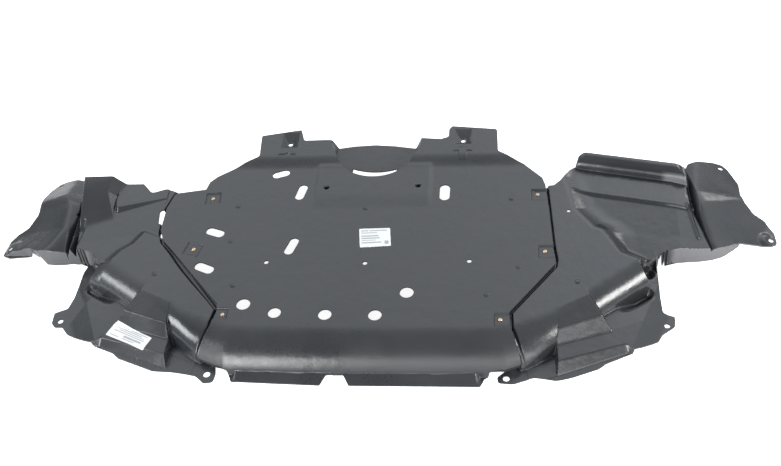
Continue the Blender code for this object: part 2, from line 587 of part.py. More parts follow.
def slot(cx, cy, length, width, degrees, per_end=5):
    """Corners of a round-ended slot."""
    reach, radius, turn = (length - width) / 2, width / 2, math.radians(degrees)
    points = []
    for end in (1, -1):
        for i in range(per_end):
            angle = math.pi * (i / (per_end - 1) - 0.5)
            u, v = end * (reach + radius * math.cos(angle)), end * radius * math.sin(angle)
            points.append((cx + u * math.cos(turn) - v * math.sin(turn),
                           cy + u * math.sin(turn) + v * math.cos(turn)))
    return points


def drain_slit():
    """The curved slit between the rim of the scoop and the front edge of its ramp."""
    cx, cy, radius = SCOOP
    rim = [math.radians(-124 + 68 * i / 9) for i in range(10)]
    outer = [(cx + (radius + 0.3) * math.cos(a), cy + (radius + 0.3) * math.sin(a)) for a in rim]
    inner = [(u, SLIT_TOP + 5.0 + 0.0042 * u * u) for u in (44, 22, 0, -24, -48)]
    return outer + inner


def centre_loops():
    """Plan of the centre panel: its outline, then each hole."""
    loops = [outline(CENTRE_OUTLINE), drain_slit()]
    loops += [slot(*item) for item in SLOTS]
    loops += [ring(*item) for item in DRAINS + SMALL_HOLES + CENTRE_BOLTS]
    return loops + rivet_holes(RIVETS)


def right_loops():
    """Plan of the right panel."""
    loops = [outline(RIGHT_OUTLINE)] + [ring(*item) for item in RIGHT_BOLTS + RIGHT_HOLES]
    return loops + rivet_holes((4, 5, 6))


def left_loops():
    """Plan of the left panel, turned back from mirrored coordinates."""
    loops = [outline(LEFT_OUTLINE)] + [ring(*item) for item in LEFT_BOLTS]
    loops += [slot(*item) for item in LEFT_SLIT]
    loops = [[(-x, y) for x, y in loop] for loop in loops]
    return loops + rivet_holes((1, 2, 3))


def rivet_holes(numbers):
    """Holes for the rivets of the given numbers."""
    return [ring(*RIVETS[number], 2 * RIVET_HOLE_R, 8) for number in numbers]


def inside_plan(x, y, loop):
    """Which points lie inside a closed plan loop."""
    odd = np.zeros(np.shape(x), dtype=bool)
    for (ax, ay), (bx, by) in zip(loop, loop[1:] + loop[:1]):
        if ay != by:
            crosses = (ay > y) != (by > y)
            odd ^= crosses & (x < (bx - ax) * (y - ay) / (by - ay) + ax)
    return odd


def sample_points(loops, spacing):
    """A staggered grid of points inside the outline, clear of its edge and of the holes."""
    outer = np.array(loops[0])
    low, high = outer.min(axis=0), outer.max(axis=0)
    columns = np.arange(low[0], high[0], spacing)
    rows = np.arange(low[1], high[1], spacing * 0.87)
    x, y = np.meshgrid(columns, rows)
    x = x + np.where(np.arange(len(rows)) % 2 == 1, spacing / 2, 0.0)[:, None]
    x, y = x.ravel(), y.ravel()
    keep = inside_plan(x, y, loops[0])
    for loop in loops[1:]:
        keep &= ~inside_plan(x, y, loop)
    x, y = x[keep], y[keep]
    clear = np.full(len(x), 1e9)
    for loop in loops:
        clear = np.minimum(clear, np.abs(to_path(x, y, loop + loop[:1])))
    near = clear > spacing * 0.45
    return x[near], y[near]


def steepness(height, x, y):
    """How much longer the sheet is than its plan: one over the cosine of its slope."""
    h = 0.4
    gx = (height(x + h, y) - height(x - h, y)) / (2 * h)
    gy = (height(x, y + h) - height(x, y - h)) / (2 * h)
    return np.sqrt(1.0 + gx * gx + gy * gy)


def triangulate(loops, inner):
    """Triangles of the plan between its loops, using the given inner points."""
    points, edges = [], []
    for loop in loops:
        first = len(points)
        points.extend(loop)
        edges.extend((first + i, first + (i + 1) % len(loop)) for i in range(len(loop)))
    points.extend(inner)
    vectors = [Vector(point) for point in points]
    verts, _, faces, _, _, _ = delaunay_2d_cdt(vectors, edges, [], 0, 1e-5)
    verts = np.array([tuple(vert) for vert in verts])
    middles = verts[np.array(faces)].mean(axis=1)
    keep = inside_plan(middles[:, 0], middles[:, 1], loops[0])
    for loop in loops[1:]:
        keep &= ~inside_plan(middles[:, 0], middles[:, 1], loop)
    return verts, [tuple(face) for face, kept in zip(faces, keep) if kept]


def worst_points(verts, faces, heights, x, y, z, weight, tolerance):
    """The sample that lies furthest from each triangle, where that is too far."""
    chosen = []
    order = np.argsort(x)
    x, y, z, weight = x[order], y[order], z[order], weight[order]
    for face in faces:
        (ax, ay), (bx, by), (cx, cy) = verts[list(face)]
        lo, hi = np.searchsorted(x, (min(ax, bx, cx), max(ax, bx, cx)))
        if hi <= lo:
            continue
        px, py = x[lo:hi], y[lo:hi]
        area = (bx - ax) * (cy - ay) - (cx - ax) * (by - ay)
        if abs(area) < 1e-6:
            continue
        v = ((px - ax) * (cy - ay) - (cx - ax) * (py - ay)) / area
        w = ((bx - ax) * (py - ay) - (px - ax) * (by - ay)) / area
        hit = (v >= 0) & (w >= 0) & (v + w <= 1)
        if not hit.any():
            continue
        za, zb, zc = heights[list(face)]
        error = np.abs(za + v * (zb - za) + w * (zc - za) - z[lo:hi]) / weight[lo:hi]
        error = np.where(hit, error, 0.0)
        k = int(np.argmax(error))
        if error[k] > tolerance:
            chosen.append((float(px[k]), float(py[k])))
    return chosen


def pad_points(loops, grow):
    """Points along the upper and lower edges of the rivet pads inside a plan."""
    points = []
    for cx, cy, half_u, half_v, angle in PAD_SHAPES.values():
        c, s = math.cos(math.radians(angle)), math.sin(math.radians(angle))
        for shrink in (-0.1, 3.1):
            u, v = half_u + grow - shrink, half_v + grow - shrink
            for a, b in ((-1, -1), (0, -1), (1, -1), (1, 0), (1, 1), (0, 1), (-1, 1), (-1, 0)):
                points.append((cx + a * u * c - b * v * s, cy + a * u * s + b * v * c))
    points = np.array(points)
    keep = inside_plan(points[:, 0], points[:, 1], loops[0])
    keep &= np.abs(to_path(points[:, 0], points[:, 1], loops[0] + loops[0][:1])) > 1.0
    return [tuple(point) for point in points[keep].tolist()]


def fitted_plan(loops, height, seeds):
    """Triangulated plan, refined where the surface bends until it fits the height."""
    x, y = sample_points(loops, SAMPLE)
    z, weight = height(x, y), steepness(height, x, y)
    coarse_x, coarse_y = sample_points(loops, COARSE)
    inner = list(zip(coarse_x.tolist(), coarse_y.tolist())) + seeds
    for _ in range(ROUNDS):
        verts, faces = triangulate(loops, inner)
        heights = height(verts[:, 0], verts[:, 1])
        more = worst_points(verts, faces, heights, x, y, z, weight, TOLERANCE)
        if not more:
            break
        inner = list(dict.fromkeys(inner + more))
    return triangulate(loops, inner)


def sheet_mesh(name, loops, height, pad_grow, material):
    """One closed sheet of even thickness over a plan, with its underside never below the floor."""
    plan, faces = fitted_plan(loops, height, pad_points(loops, pad_grow))
    x, y = plan[:, 0], plan[:, 1]
    top = height(x, y)
    thick = SHEET * np.minimum(steepness(height, x, y), 4.0)
    under = np.maximum(top - thick, 0.0)
    bm = bmesh.new()
    upper = [bm.verts.new((a * MM, b * MM, c * MM)) for a, b, c in zip(x, y, top)]
    below = [bm.verts.new((a * MM, b * MM, c * MM)) for a, b, c in zip(x, y, under)]
    rims = {}
    for a, b, c in faces:
        if np.cross(plan[b] - plan[a], plan[c] - plan[a]) < 0.0:
            b, c = c, b
        bm.faces.new((upper[a], upper[b], upper[c])).smooth = True
        bm.faces.new((below[a], below[c], below[b])).smooth = True
        for p, q in ((a, b), (b, c), (c, a)):
            if (q, p) in rims:
                del rims[(q, p)]
            else:
                rims[(p, q)] = True
    for p, q in rims:
        bm.faces.new((upper[q], upper[p], below[p], below[q]))
    return finish(name, bm, material)


def plastic(name, colour, roughness, metallic=0.0):
    """A plain material."""
    material = bpy.data.materials.new(name)
    material.use_nodes = True
    shader = material.node_tree.nodes["Principled BSDF"]
    shader.inputs["Base Color"].default_value = (*colour, 1.0)
    shader.inputs["Roughness"].default_value = roughness
    shader.inputs["Metallic"].default_value = metallic
    material.diffuse_color = (*colour, 1.0)
    return material


def finish(name, bm, material, smooth_below=38.0):
    """Turn a bmesh into an object in the scene."""
    mesh = bpy.data.meshes.new(name)
    bm.normal_update()
    bm.to_mesh(mesh)
    bm.free()
    mesh.materials.append(material)
    mesh.shade_smooth()
    mesh.set_sharp_from_angle(angle=math.radians(smooth_below))
    piece = bpy.data.objects.new(name, mesh)
    bpy.context.collection.objects.link(piece)
    return piece


def turned_piece(name, profile, material, steps=8):
    """A round piece, its profile of radius and height turned about its own axis."""
    bm = bmesh.new()
    verts = [bm.verts.new((r * MM, 0.0, z * MM)) for r, z in profile]
    edges = [bm.edges.new((a, b)) for a, b in zip(verts, verts[1:])]
    if profile[0][0] > 0.0:
        edges.append(bm.edges.new((verts[-1], verts[0])))
    bmesh.ops.spin(bm, geom=verts + edges, cent=(0, 0, 0), axis=(0, 0, 1), angle=2 * math.pi,
                   steps=steps, use_merge=False)
    bmesh.ops.remove_doubles(bm, verts=bm.verts[:], dist=1e-6)
    bmesh.ops.recalc_face_normals(bm, faces=bm.faces[:])
    return finish(name, bm, material)


def rivet(number, material):
    """A blind rivet: domed head on the pad, shank through both sheets, tail under the washer."""
    head = CONTACT
    tail = -(LAP + PAD_CLEAR + SHEET + WASHER_H + 2 * CONTACT)
    profile = (
        (0.0, head + RIVET_HEAD_H), (0.55 * RIVET_HEAD_R, head + 0.85 * RIVET_HEAD_H),
        (RIVET_HEAD_R, head + 0.25 * RIVET_HEAD_H), (RIVET_HEAD_R, head), (RIVET_SHANK_R, head),
        (RIVET_SHANK_R, tail), (RIVET_TAIL_R, tail), (0.8 * RIVET_TAIL_R, tail - 2.0), (0.0, tail - 2.4),
    )
    return turned_piece(f"rivet_{number}", profile, material)


def washer(number, material):
    """The backing washer that the rivet's tail pulls against."""
    top = -(LAP + PAD_CLEAR + SHEET + CONTACT)
    inner = RIVET_SHANK_R + CONTACT
    profile = ((inner, top), (WASHER_R, top), (WASHER_R, top - WASHER_H), (inner, top - WASHER_H))
    return turned_piece(f"washer_{number}", profile, material)


def facing_up(panel, x, y):
    """Height of a panel's own facets at a point of the plan."""
    _, spot, _, _ = panel.ray_cast((x * MM, y * MM, 1.0), (0.0, 0.0, -1.0))
    return spot.z / MM


def label(name, corners, panel, material, lift=2.4, thickness=0.4, parts=(10, 8)):
    """A thin sticker over four plan corners, which follows the panel underneath."""
    bm = bmesh.new()
    across, down = parts
    a, b, c, d = (np.array(corner) for corner in corners)
    layers = []
    for offset in (lift, lift + thickness):
        rows = []
        for j in range(down + 1):
            left, right = a + (d - a) * j / down, b + (c - b) * j / down
            row = []
            for i in range(across + 1):
                x, y = left + (right - left) * i / across
                row.append(bm.verts.new((x * MM, y * MM, (facing_up(panel, x, y) + offset) * MM)))
            rows.append(row)
        layers.append(rows)
    under, top = layers
    for j in range(down):
        for i in range(across):
            bm.faces.new((top[j][i], top[j + 1][i], top[j + 1][i + 1], top[j][i + 1]))
            bm.faces.new((under[j][i], under[j][i + 1], under[j + 1][i + 1], under[j + 1][i]))
    border = ([(0, i) for i in range(across)] + [(j, across) for j in range(down)]
              + [(down, i) for i in range(across, 0, -1)] + [(j, 0) for j in range(down, 0, -1)])
    for (j, i), (jj, ii) in zip(border, border[1:] + border[:1]):
        bm.faces.new((top[j][i], top[jj][ii], under[jj][ii], under[j][i]))
    bmesh.ops.recalc_face_normals(bm, faces=bm.faces[:])
    return finish(name, bm, material)


def main():
    for old in list(bpy.data.objects):
        bpy.data.objects.remove(old)
    black = (0.030, 0.031, 0.034)
    panels = (
        ("centre", centre_loops, centre_height, 0.0),
        ("right", right_loops, right_height, PAD_GROW),
        ("left", left_loops, left_height, PAD_GROW),
    )
    pieces = [sheet_mesh(f"{side}_panel", loops(), height, grow, plastic(f"{side}_plastic", black, 0.35))
              for side, loops, height, grow in panels]
    brass = plastic("rivet_metal", (0.55, 0.42, 0.30), 0.35, 1.0)
    steel = plastic("washer_metal", (0.45, 0.45, 0.47), 0.4, 1.0)
    for number, (x, y) in RIVETS.items():
        for piece in (rivet(number, brass), washer(number, steel)):
            piece.location = (x * MM, y * MM, (TRAY - PAD_DEPTH) * MM)
            pieces.append(piece)
    paper = plastic("label_paper", (0.80, 0.82, 0.82), 0.4)
    bpy.context.view_layer.update()
    pieces.append(label("centre_label", CENTRE_LABEL, pieces[0], paper))
    pieces.append(label("left_label", LEFT_LABEL, pieces[2], paper))
    frame = bpy.data.objects.new("shield", None)
    bpy.context.collection.objects.link(frame)
    bpy.context.view_layer.update()
    corners = np.array([piece.matrix_world @ Vector(spot) for piece in pieces for spot in piece.bound_box])
    middle = (corners.min(axis=0) + corners.max(axis=0)) / 2
    frame.location = (-middle[0], -middle[1], -corners[:, 2].min())
    for piece in pieces:
        piece.parent = frame


main()
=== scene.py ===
"""Studio picture of an under-engine splash shield, lying road side up on a white floor.

Each moulded panel is rebuilt as a fine mesh from the formulas that shape its solid. Sizes in
the formulas are in millimetres, in the mould's own coordinates; place() turns them into the
frame's metres. +X is the shield's right, +Y its rear and +Z up.
"""
import math

import bmesh
import bpy
import numpy as np
from mathutils import Matrix, Vector
from mathutils.geometry import delaunay_2d_cdt


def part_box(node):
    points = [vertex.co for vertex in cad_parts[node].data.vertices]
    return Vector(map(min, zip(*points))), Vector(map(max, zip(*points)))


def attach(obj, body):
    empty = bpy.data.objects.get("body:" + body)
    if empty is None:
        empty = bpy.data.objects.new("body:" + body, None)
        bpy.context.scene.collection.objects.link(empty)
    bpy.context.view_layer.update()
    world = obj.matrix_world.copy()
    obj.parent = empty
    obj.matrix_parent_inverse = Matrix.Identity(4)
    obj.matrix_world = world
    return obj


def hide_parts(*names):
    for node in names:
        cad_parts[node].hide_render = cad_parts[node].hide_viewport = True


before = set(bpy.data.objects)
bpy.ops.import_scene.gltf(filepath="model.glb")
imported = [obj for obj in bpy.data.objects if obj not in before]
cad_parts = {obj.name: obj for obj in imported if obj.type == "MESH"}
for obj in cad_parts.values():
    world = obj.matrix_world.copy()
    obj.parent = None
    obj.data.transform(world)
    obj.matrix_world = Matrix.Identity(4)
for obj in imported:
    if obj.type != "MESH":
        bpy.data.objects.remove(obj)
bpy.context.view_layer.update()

MM = 0.001

# Driving sizes
SHEET = 2.6                 # thickness of every panel
TRAY = 62.0                 # top of the centre tray above the floor
LAP = SHEET + 0.9           # a side panel lies this far below the centre panel
SIDE = TRAY - LAP           # top of the side panels beside the tray
ROLL = 71.0                 # radius of the rolled front edge
STEEP = 5.6                 # slope of the steepest drafted wall, about 80 degrees
ROLL_TILT, FULL_TILT = 69.0, 80.0       # tilt at which a rolled edge breaks off into a wall
FILLET = 4.0
SOFT = 4.0                  # sharpness with which falling edges blend

# Rivets, washers and their square pads
RIVETS = {
    1: (-324.0, 178.0), 2: (-336.0, 39.0), 3: (-249.0, -123.0),
    4: (327.0, 180.0), 5: (337.0, 29.0), 6: (254.0, -134.0),
}
RIVET_HEAD_R = 3.8
RIVET_HEAD_H = 1.6
RIVET_SHANK_R = 2.0
RIVET_TAIL_R = 3.2
RIVET_HOLE_R = 2.4
WASHER_R = 5.5
WASHER_H = 1.2
CONTACT = 0.5               # gap kept between touching pieces
PAD_DEPTH = 2.6
PAD_CLEAR = 0.6             # the lower panel's pads are this much deeper, and wider
PAD_GROW = 3.5

CENTRE_LABEL = ((-17, 88), (43, 90), (48, 43), (-11, 39))
LEFT_LABEL = ((-464, -109), (-385, -149), (-397, -174), (-478, -138))

# Centre panel: plan corners as (x, y, corner radius), counterclockwise from the front left
CENTRE_OUTLINE = (
    (-290, -191, 3), (-262, -203, 4), (-240, -211, 4), (-234, -213, 3), (-226, -231, 5), (-65, -236, 3),
    (-54, -219, 4), (-23, -219, 4), (-13, -236, 3), (219, -236, 5), (226, -220, 4),
    (236, -213, 4), (262, -212, 3), (290, -201, 3), (272, -150, 10), (270, -118, 8),
    (355, -3, 8), (355, 12, 12), (351, 50, 0), (343, 205, 4), (337, 226, 12),
    (302, 266, 30), (256, 296, 14), (250, 300, 6), (248, 367, 6), (154, 379, 4),
    (148, 368, 4), (148, 346, 6), (132, 339, 4), (92, 343, 4),
    (77, 334, 3), (35, 342, 40), (-6, 346, 60), (-51, 343, 40), (-84, 337, 3),
    (-103, 342, 4), (-156, 341, 5), (-166, 375, 4), (-250, 358, 6),
    (-245, 294, 10), (-274, 278, 14), (-326, 240, 16), (-339, 224, 6), (-343, 203, 4),
    (-404, 192, 8), (-414, 150, 20), (-413, 90, 6), (-402, 62, 3), (-375, 32, 6),
    (-328, -24, 20), (-263, -99, 6), (-262, -116, 5), (-268, -148, 10),
)
SLOTS = (                   # middle x, y, length, width, turn in degrees
    (-193, 246, 36, 18, 20), (-144, 192, 43, 18, 79), (145, 187, 44, 20, 90),
    (-301, 82, 39, 19, -20), (-144, 44, 44, 18, 73), (-305, -11, 41, 20, -24),
)
DRAINS = ((-214, -100, 26), (-153, -120, 24), (-60, -124, 24.5), (31, -125, 24.5), (85, -72, 25.5))
SMALL_HOLES = ((-187, 3, 9), (2, 0, 9), (197, 4, 9))
CENTRE_BOLTS = ((-186, 336, 9.5), (178, 339, 9.5))
WELLS = ((-94, 203), (91, 206))                 # blind screw wells
PIPS = ((-267, 153), (-266, 58), (-242, -55), (-10, 145), (276, 167), (287, -11), (229, -78))
HOPPER_HALF, HOPPER_FRONT, HOPPER_BACK = 18.0, 17.0, 30.0       # funnels round the rear bolts
HOPPER_DEPTH = 7.0
BOLT_FLAT = 6.5
ARROW_H = 1.5
PIP_R = 6.0
PIP_H = 1.6
WELL_R, WELL_DEPTH = 6.5, 9.0
PAD_SHAPES = {              # middle x, y, half length, half width, turn in degrees
    1: (-323, 177, 16, 16, 4), 2: (-337, 38, 17, 17, -14), 3: (-257, -122, 18, 14, 0),
    4: (336, 178, 22, 16, 0), 5: (346, 27, 22, 16, 0), 6: (262, -135, 20, 15, 0),
}
ROLL_START = -150.0         # where the front edge starts to roll, at the middle
ROLL_BOW = 3.0              # the ends of that line lie this much further back
ROLL_TURN = (274.0, -137.0, 21.8)               # where the roll turns rearward, and its angle
LEFT_BACK, BULGE_BACK = 10.0, 8.0       # the left lobe and its bulge lie this much further back
BRIM_FRONT, BRIM_DEPTH, BRIM_HALF, BRIM_SLOPE = -236.0, 20.0, 225.0, 0.5
REAR_RISE = 7.0
SCOOP = (-2.0, 316.0, 82.0)                     # middle and radius of the rear scoop
SCOOP_FLOOR, SCOOP_RISE = 45.0, 0.0375          # floor of the scoop at its front, and its slope
SCOOP_FLARE = 15.0                              # its sides lean out at the rear
SLIT_TOP = 262.0
SLIT_OUT, SLIT_RIM = 0.3, (-124.0, -56.0)       # the drain slit along the scoop's rim, between two angles
SLIT_FRONT, SLIT_BOW = (44.0, 92.0), 0.0042     # its front edge: right end, length and bow


def lower(a, b, radius=FILLET):
    """The lower of two heights, rounded where they cross."""
    mix = np.clip(0.5 + 0.5 * (b - a) / radius, 0.0, 1.0)
    return b + (a - b) * mix - radius * mix * (1.0 - mix)


def higher(a, b, radius=FILLET):
    """The higher of two heights, rounded where they cross."""
    return -lower(-a, -b, radius)


def fade(value, start, end):
    """0 up to start, 1 from end on, smooth between."""
    t = np.clip((value - start) / (end - start), 0.0, 1.0)
    return t * t * (3.0 - 2.0 * t)


def past(x, y, p, q):
    """Distance of a point to the right of the line that runs from p to q."""
    along_x, along_y = q[0] - p[0], q[1] - p[1]
    return ((x - p[0]) * along_y - (y - p[1]) * along_x) / math.hypot(along_x, along_y)


def to_path(x, y, points):
    """Distance of a point to the right of a path, negative on its left."""
    best = np.full(np.shape(x), 1e9)
    signed = np.zeros(np.shape(x))
    for p, q in zip(points, points[1:]):
        dx, dy = q[0] - p[0], q[1] - p[1]
        t = np.clip(((x - p[0]) * dx + (y - p[1]) * dy) / (dx * dx + dy * dy), 0.0, 1.0)
        away = np.hypot(x - p[0] - t * dx, y - p[1] - t * dy)
        side = np.where(past(x, y, p, q) >= 0.0, 1.0, -1.0)
        nearer = away < best
        best = np.where(nearer, away, best)
        signed = np.where(nearer, away * side, signed)
    return signed


def turned(x, y, cx, cy, degrees):
    """Coordinates of a point in a frame at (cx, cy) turned by an angle."""
    c, s = math.cos(math.radians(degrees)), math.sin(math.radians(degrees))
    return (x - cx) * c + (y - cy) * s, (y - cy) * c - (x - cx) * s


def rolled(distance, top, radius=ROLL, tilt=ROLL_TILT):
    """Height of an edge rolled down, at a distance outward of where it starts to turn."""
    limit = math.sin(math.radians(tilt))
    t = np.clip(distance / radius, 0.0, limit)
    curve = top - radius * (1.0 - np.sqrt(1.0 - t * t))
    return curve - STEEP * np.maximum(distance - limit * radius, 0.0)


def roll_front(x, y):
    """Distance in front of the line where the front edge starts to roll."""
    return ROLL_START + ROLL_BOW * ((x - 20.0) / 250.0) ** 2 - y


def roll_turn(x, y):
    """The same for the stretch of the roll that turns rearward, on the right."""
    px, py, angle = ROLL_TURN
    return past(x, y, (px, py), (px + math.cos(math.radians(angle)), py + math.sin(math.radians(angle))))


def fallen(top, *heights):
    """The lowest of several heights that leave the same level, with round valleys."""
    drops = sum(np.maximum(top - height, 0.0) ** SOFT for height in heights)
    return top - drops ** (1.0 / SOFT)


def front_edge(x, y, top):
    """The rolled front edge over the whole width: a bowed middle and two turned ends."""
    ends = np.maximum(roll_turn(x, y), roll_turn(-x, y - LEFT_BACK))
    return rolled(higher(roll_front(x, y), ends, 2.5), top)


def rivet_pads(x, y, grow=0.0, extra=0.0):
    """Depth of the square rivet pads; those of the panel underneath are wider and deeper."""
    depth = np.zeros(np.shape(x))
    for cx, cy, half_u, half_v, angle in PAD_SHAPES.values():
        u, v = turned(x, y, cx, cy, angle)
        inside = np.minimum(half_u + grow - np.abs(u), half_v + grow - np.abs(v))
        depth = np.maximum(depth, (PAD_DEPTH + extra) * fade(inside, 0.0, 3.0))
    return depth


def domes(x, y, places, radius, height):
    """Low round bumps, or dimples where the height is negative."""
    z = np.zeros(np.shape(x))
    for cx, cy in places:
        r = np.hypot(x - cx, y - cy) / radius
        z = z + height * (1.0 - fade(r, 0.35, 1.0))
    return z


def arrow(x, y, with_body):
    """Distance inside a moulded arrow that points rearward, its tip near y = 0."""
    head = np.minimum(-4.0 - y - 0.8 * np.abs(x), y + 22.0)
    if not with_body:
        return np.minimum(head, 0.8 * np.abs(x) + y + 17.0)
    body = np.minimum(9.5 - np.abs(x), np.minimum(y + 44.0, -18.0 - y))
    return np.maximum(head, body)


def rear_relief(x, y):
    """Rise to the rear bolt tabs, the raised field before the scoop and the bolt hoppers."""
    rise = REAR_RISE * fade(y, 258.0, 296.0) * (1.0 - fade(np.abs(x), 268.0, 330.0))
    field = 2.2 * fade(118.0 - np.abs(x), -4.0, 8.0) * fade(y, 140.0, 185.0)
    field = field * (1.0 - fade(y, 262.0, 276.0))
    hoppers = np.zeros(np.shape(x))
    for cx, cy, _ in CENTRE_BOLTS:
        beside = (HOPPER_HALF - np.abs(x - cx)) / (HOPPER_HALF - BOLT_FLAT)
        before = (y - cy + HOPPER_FRONT) / (HOPPER_FRONT - BOLT_FLAT)
        behind = (cy + HOPPER_BACK - y) / (HOPPER_BACK - BOLT_FLAT)
        share = np.clip(np.minimum(np.minimum(beside, before), behind), 0.0, 1.0)
        hoppers = np.maximum(hoppers, HOPPER_DEPTH * share)
        field = field + ARROW_H * fade(arrow(x - cx, y - cy + HOPPER_FRONT, cx > 0.0), 0.0, 2.5)
    return rise + field - hoppers


def scoop(x, y, base):
    """The half-round scoop: a low floor behind the drain slit, its steep sides leaning out at the rear."""
    cx, cy, radius = SCOOP
    flare = fade(y, cy - 30.0, cy + 28.0)
    inside = radius + SCOOP_FLARE * flare - np.hypot(x - cx, y - cy)
    ramp = SCOOP_FLOOR + SCOOP_RISE * (y - SLIT_TOP)
    sides = base - (STEEP - 4.0 * flare) * np.maximum(inside, 0.0)
    inner = np.minimum(base, higher(ramp, sides, 3.0))
    return np.where(inside > 0.0, inner, base)


def brim(x, y):
    """The narrow brim along the foot of the rolled edge, which falls to the floor at its front."""
    rise = BRIM_SLOPE * np.clip(y - BRIM_FRONT, 0.0, BRIM_DEPTH)
    return SHEET + rise * (1.0 - fade(np.abs(x + 4.0), BRIM_HALF - 12.0, BRIM_HALF))


def centre_height(x, y):
    """Top surface of the centre panel."""
    z = front_edge(x, y, TRAY)
    z = z + rear_relief(x, y)
    z = z - rivet_pads(x, y) + domes(x, y, PIPS, PIP_R, PIP_H)
    z = z + domes(x, y, WELLS, WELL_R, -WELL_DEPTH)
    z = scoop(x, y, z)
    return higher(z, brim(x, y), 3.0)


# Front lobes, in the right-hand lobe's own coordinates
RIGHT_SEAM = ((343, 207), (351, 50), (355, 10), (353, -6), (271, -116), (272, -150), (291, -194),
              (300, -232))
LEFT_SEAM = (
    (-343, 203), (-404, 192), (-414, 150), (-413, 90), (-402, 62), (-375, 32), (-328, -24),
    (-262, -108), (-269, -150), (-292, -190), (-300, -230),
)
CHANNEL_OUT, CHANNEL_HALF, CHANNEL_DEPTH = 1.8, 3.2, 6.0
WEDGE = 2.5                 # the left channel is this much wider in its middle
LOBE_TURN = 21.7            # the box and its rib run at this angle
BOX_START, BOX_EDGE, BOX_FOOT = 220.0, 264.5, 282.0     # distances across that direction
RIB_EDGE, RIB_EDGE_Z, RIB_SLOPE, RIB_FOOT = 316.0, 18.0, 1.2, 328.0
RIB_END = 390.0             # distance along it
BOX_EDGE_Z, BOX_FOOT_Z = 48.0, 25.0
BOX_LEFT = ((346.0, -120.0), (352.0, -212.0))
BOX_RIGHT = ((418.0, -66.0), (441.0, -122.0))
BULGE = ((420.0, -70.0), (506.0, -3.0))         # where the bulge starts to roll over
BULGE_LENGTH = 109.0
BULGE_R, BULGE_EARLY, BULGE_FOOT_Z = 50.0, 17.0, 20.0
BULGE_WALL = 27.5           # its upright front wall stands this far in front of that line
BULGE_END = ((512.0, 10.0), (526.5, -30.0))
TROUGH_DEPTH, TROUGH_HALF = 16.0, 9.0           # hollow along the foot of the bulge
OUTER_RIDGE = ((532.0, -40.0), (489.0, -148.0))
LEFT_STRETCH = 1.12         # the left lobe is wider past this x
STRETCH_FROM = 350.0

# Right wing
RIGHT_LAND = ((374, 260), (374, 232), (391, 140), (424, 90), (441, 80), (472, 24), (509, 4))
BEAD = ((396.0, 199.0), (611.0, 152.0))
CREASE = ((422.0, 93.0), (623.0, 81.0))
PLATE_BORDER = ((603, 216), (613, 154), (624, 83))
BEAD_RISE, BEAD_WIDE = 5.0, 3.4
BORDER_RISE, BORDER_WIDE = 3.0, 3.0
BAR_FOOT = ((410.0, 264.5), (596.0, 223.0))
BAR_START, BAR_END, BAR_TOP, BAR_R = 405.0, 618.0, 72.0, 23.0
LEDGE_Z, STRIP_Z = 48.0, 41.0
RIGHT_GROOVE = ((624, 335), (622, 207), (624, 150), (638, 90), (648, 52))
RIGHT_CREST = ((652, 345), (635, 225), (633, 198), (641, 169), (643, 125), (652, 78), (664, 50))
RIGHT_FOLD = ((643.0, 169.0), (719.0, 198.0))
RIGHT_FRONT = (
    (300, 0), (512, 14), (542, 33), (566, 50), (588, 55), (605, 56), (628, 58), (648, 61),
    (668, 68), (690, 81), (702, 88), (790, 89),
)
RIGHT_FRONT_Z = 41.0
GROOVE_Z = 34.0
FRONT_WALL = 12.0           # slope of the front band
LIP, LIP_Z = ((541.0, 33.0), (545.0, 10.0)), 37.0
RIGHT_TIP_PAD = ((763.0, 106.0),)
TIP_R, TIP_RISE = 24.0, 5.0
RIGHT_POCKET = ((525.0, 12.0),)
POCKET_R, POCKET_DEPTH = 16.0, 8.0
PLEAT_PITCH, PLEAT_DEPTH = 7.0, 3.0
RIGHT_FLAP = ((0.36, 0.24), (31.0, 0.20, 62.0))         # slopes; crest height, its rise, from which y
LEFT_FLAP = ((0.43, 0.44), (44.0, 0.12, 60.0))


def lobe_frame(x, y):
    """Distances across and along the direction in which the lobe's box runs."""
    c, s = math.cos(math.radians(LOBE_TURN)), math.sin(math.radians(LOBE_TURN))
    return x * s - y * c, x * c + y * s


def lobe_box(x, y, across):
    """The stepped box that stands out of the roll: a sloping top, a steep strip, an end wall."""
    top = SIDE - (SIDE - BOX_EDGE_Z) / (BOX_EDGE - BOX_START) * (across - BOX_START)
    strip = BOX_EDGE_Z - (BOX_EDGE_Z - BOX_FOOT_Z) / (BOX_FOOT - BOX_EDGE) * (across - BOX_EDGE)
    end = 40.0 + 2.4 * past(x, y, *BOX_RIGHT)
    return lower(lower(top, strip, 2.0), end, 5.0)


def lobe_skirt(x, y, across, along):
    """The apron in front of the box and the bulge: a hollow below the bulge and the long rib."""
    z = BOX_FOOT_Z - 0.08 * np.clip(across - BOX_FOOT, 0.0, 60.0) - 0.04 * (along - 262.0)
    z = z + 0.36 * np.minimum(past(x, y, *OUTER_RIDGE), 0.0)
    (px, py), (qx, qy) = BULGE
    beside = ((x - px) * (qx - px) + (y - py) * (qy - py)) / BULGE_LENGTH
    hollow = (past(x, y, *BULGE) - BULGE_WALL - 8.0) / TROUGH_HALF
    shown = fade(beside, 25.0, 85.0) * (1.0 - fade(beside, 98.0, 114.0))
    z = z - TROUGH_DEPTH * shown * np.exp(-hollow ** 2)
    face = RIB_EDGE_Z - RIB_SLOPE * (across - RIB_EDGE)
    rib = lower(face, SHEET + STEEP * (RIB_FOOT - across), 1.5)
    return lower(z, rib + 30.0 * fade(along, RIB_END - 10.0, RIB_END + 10.0), 1.5)


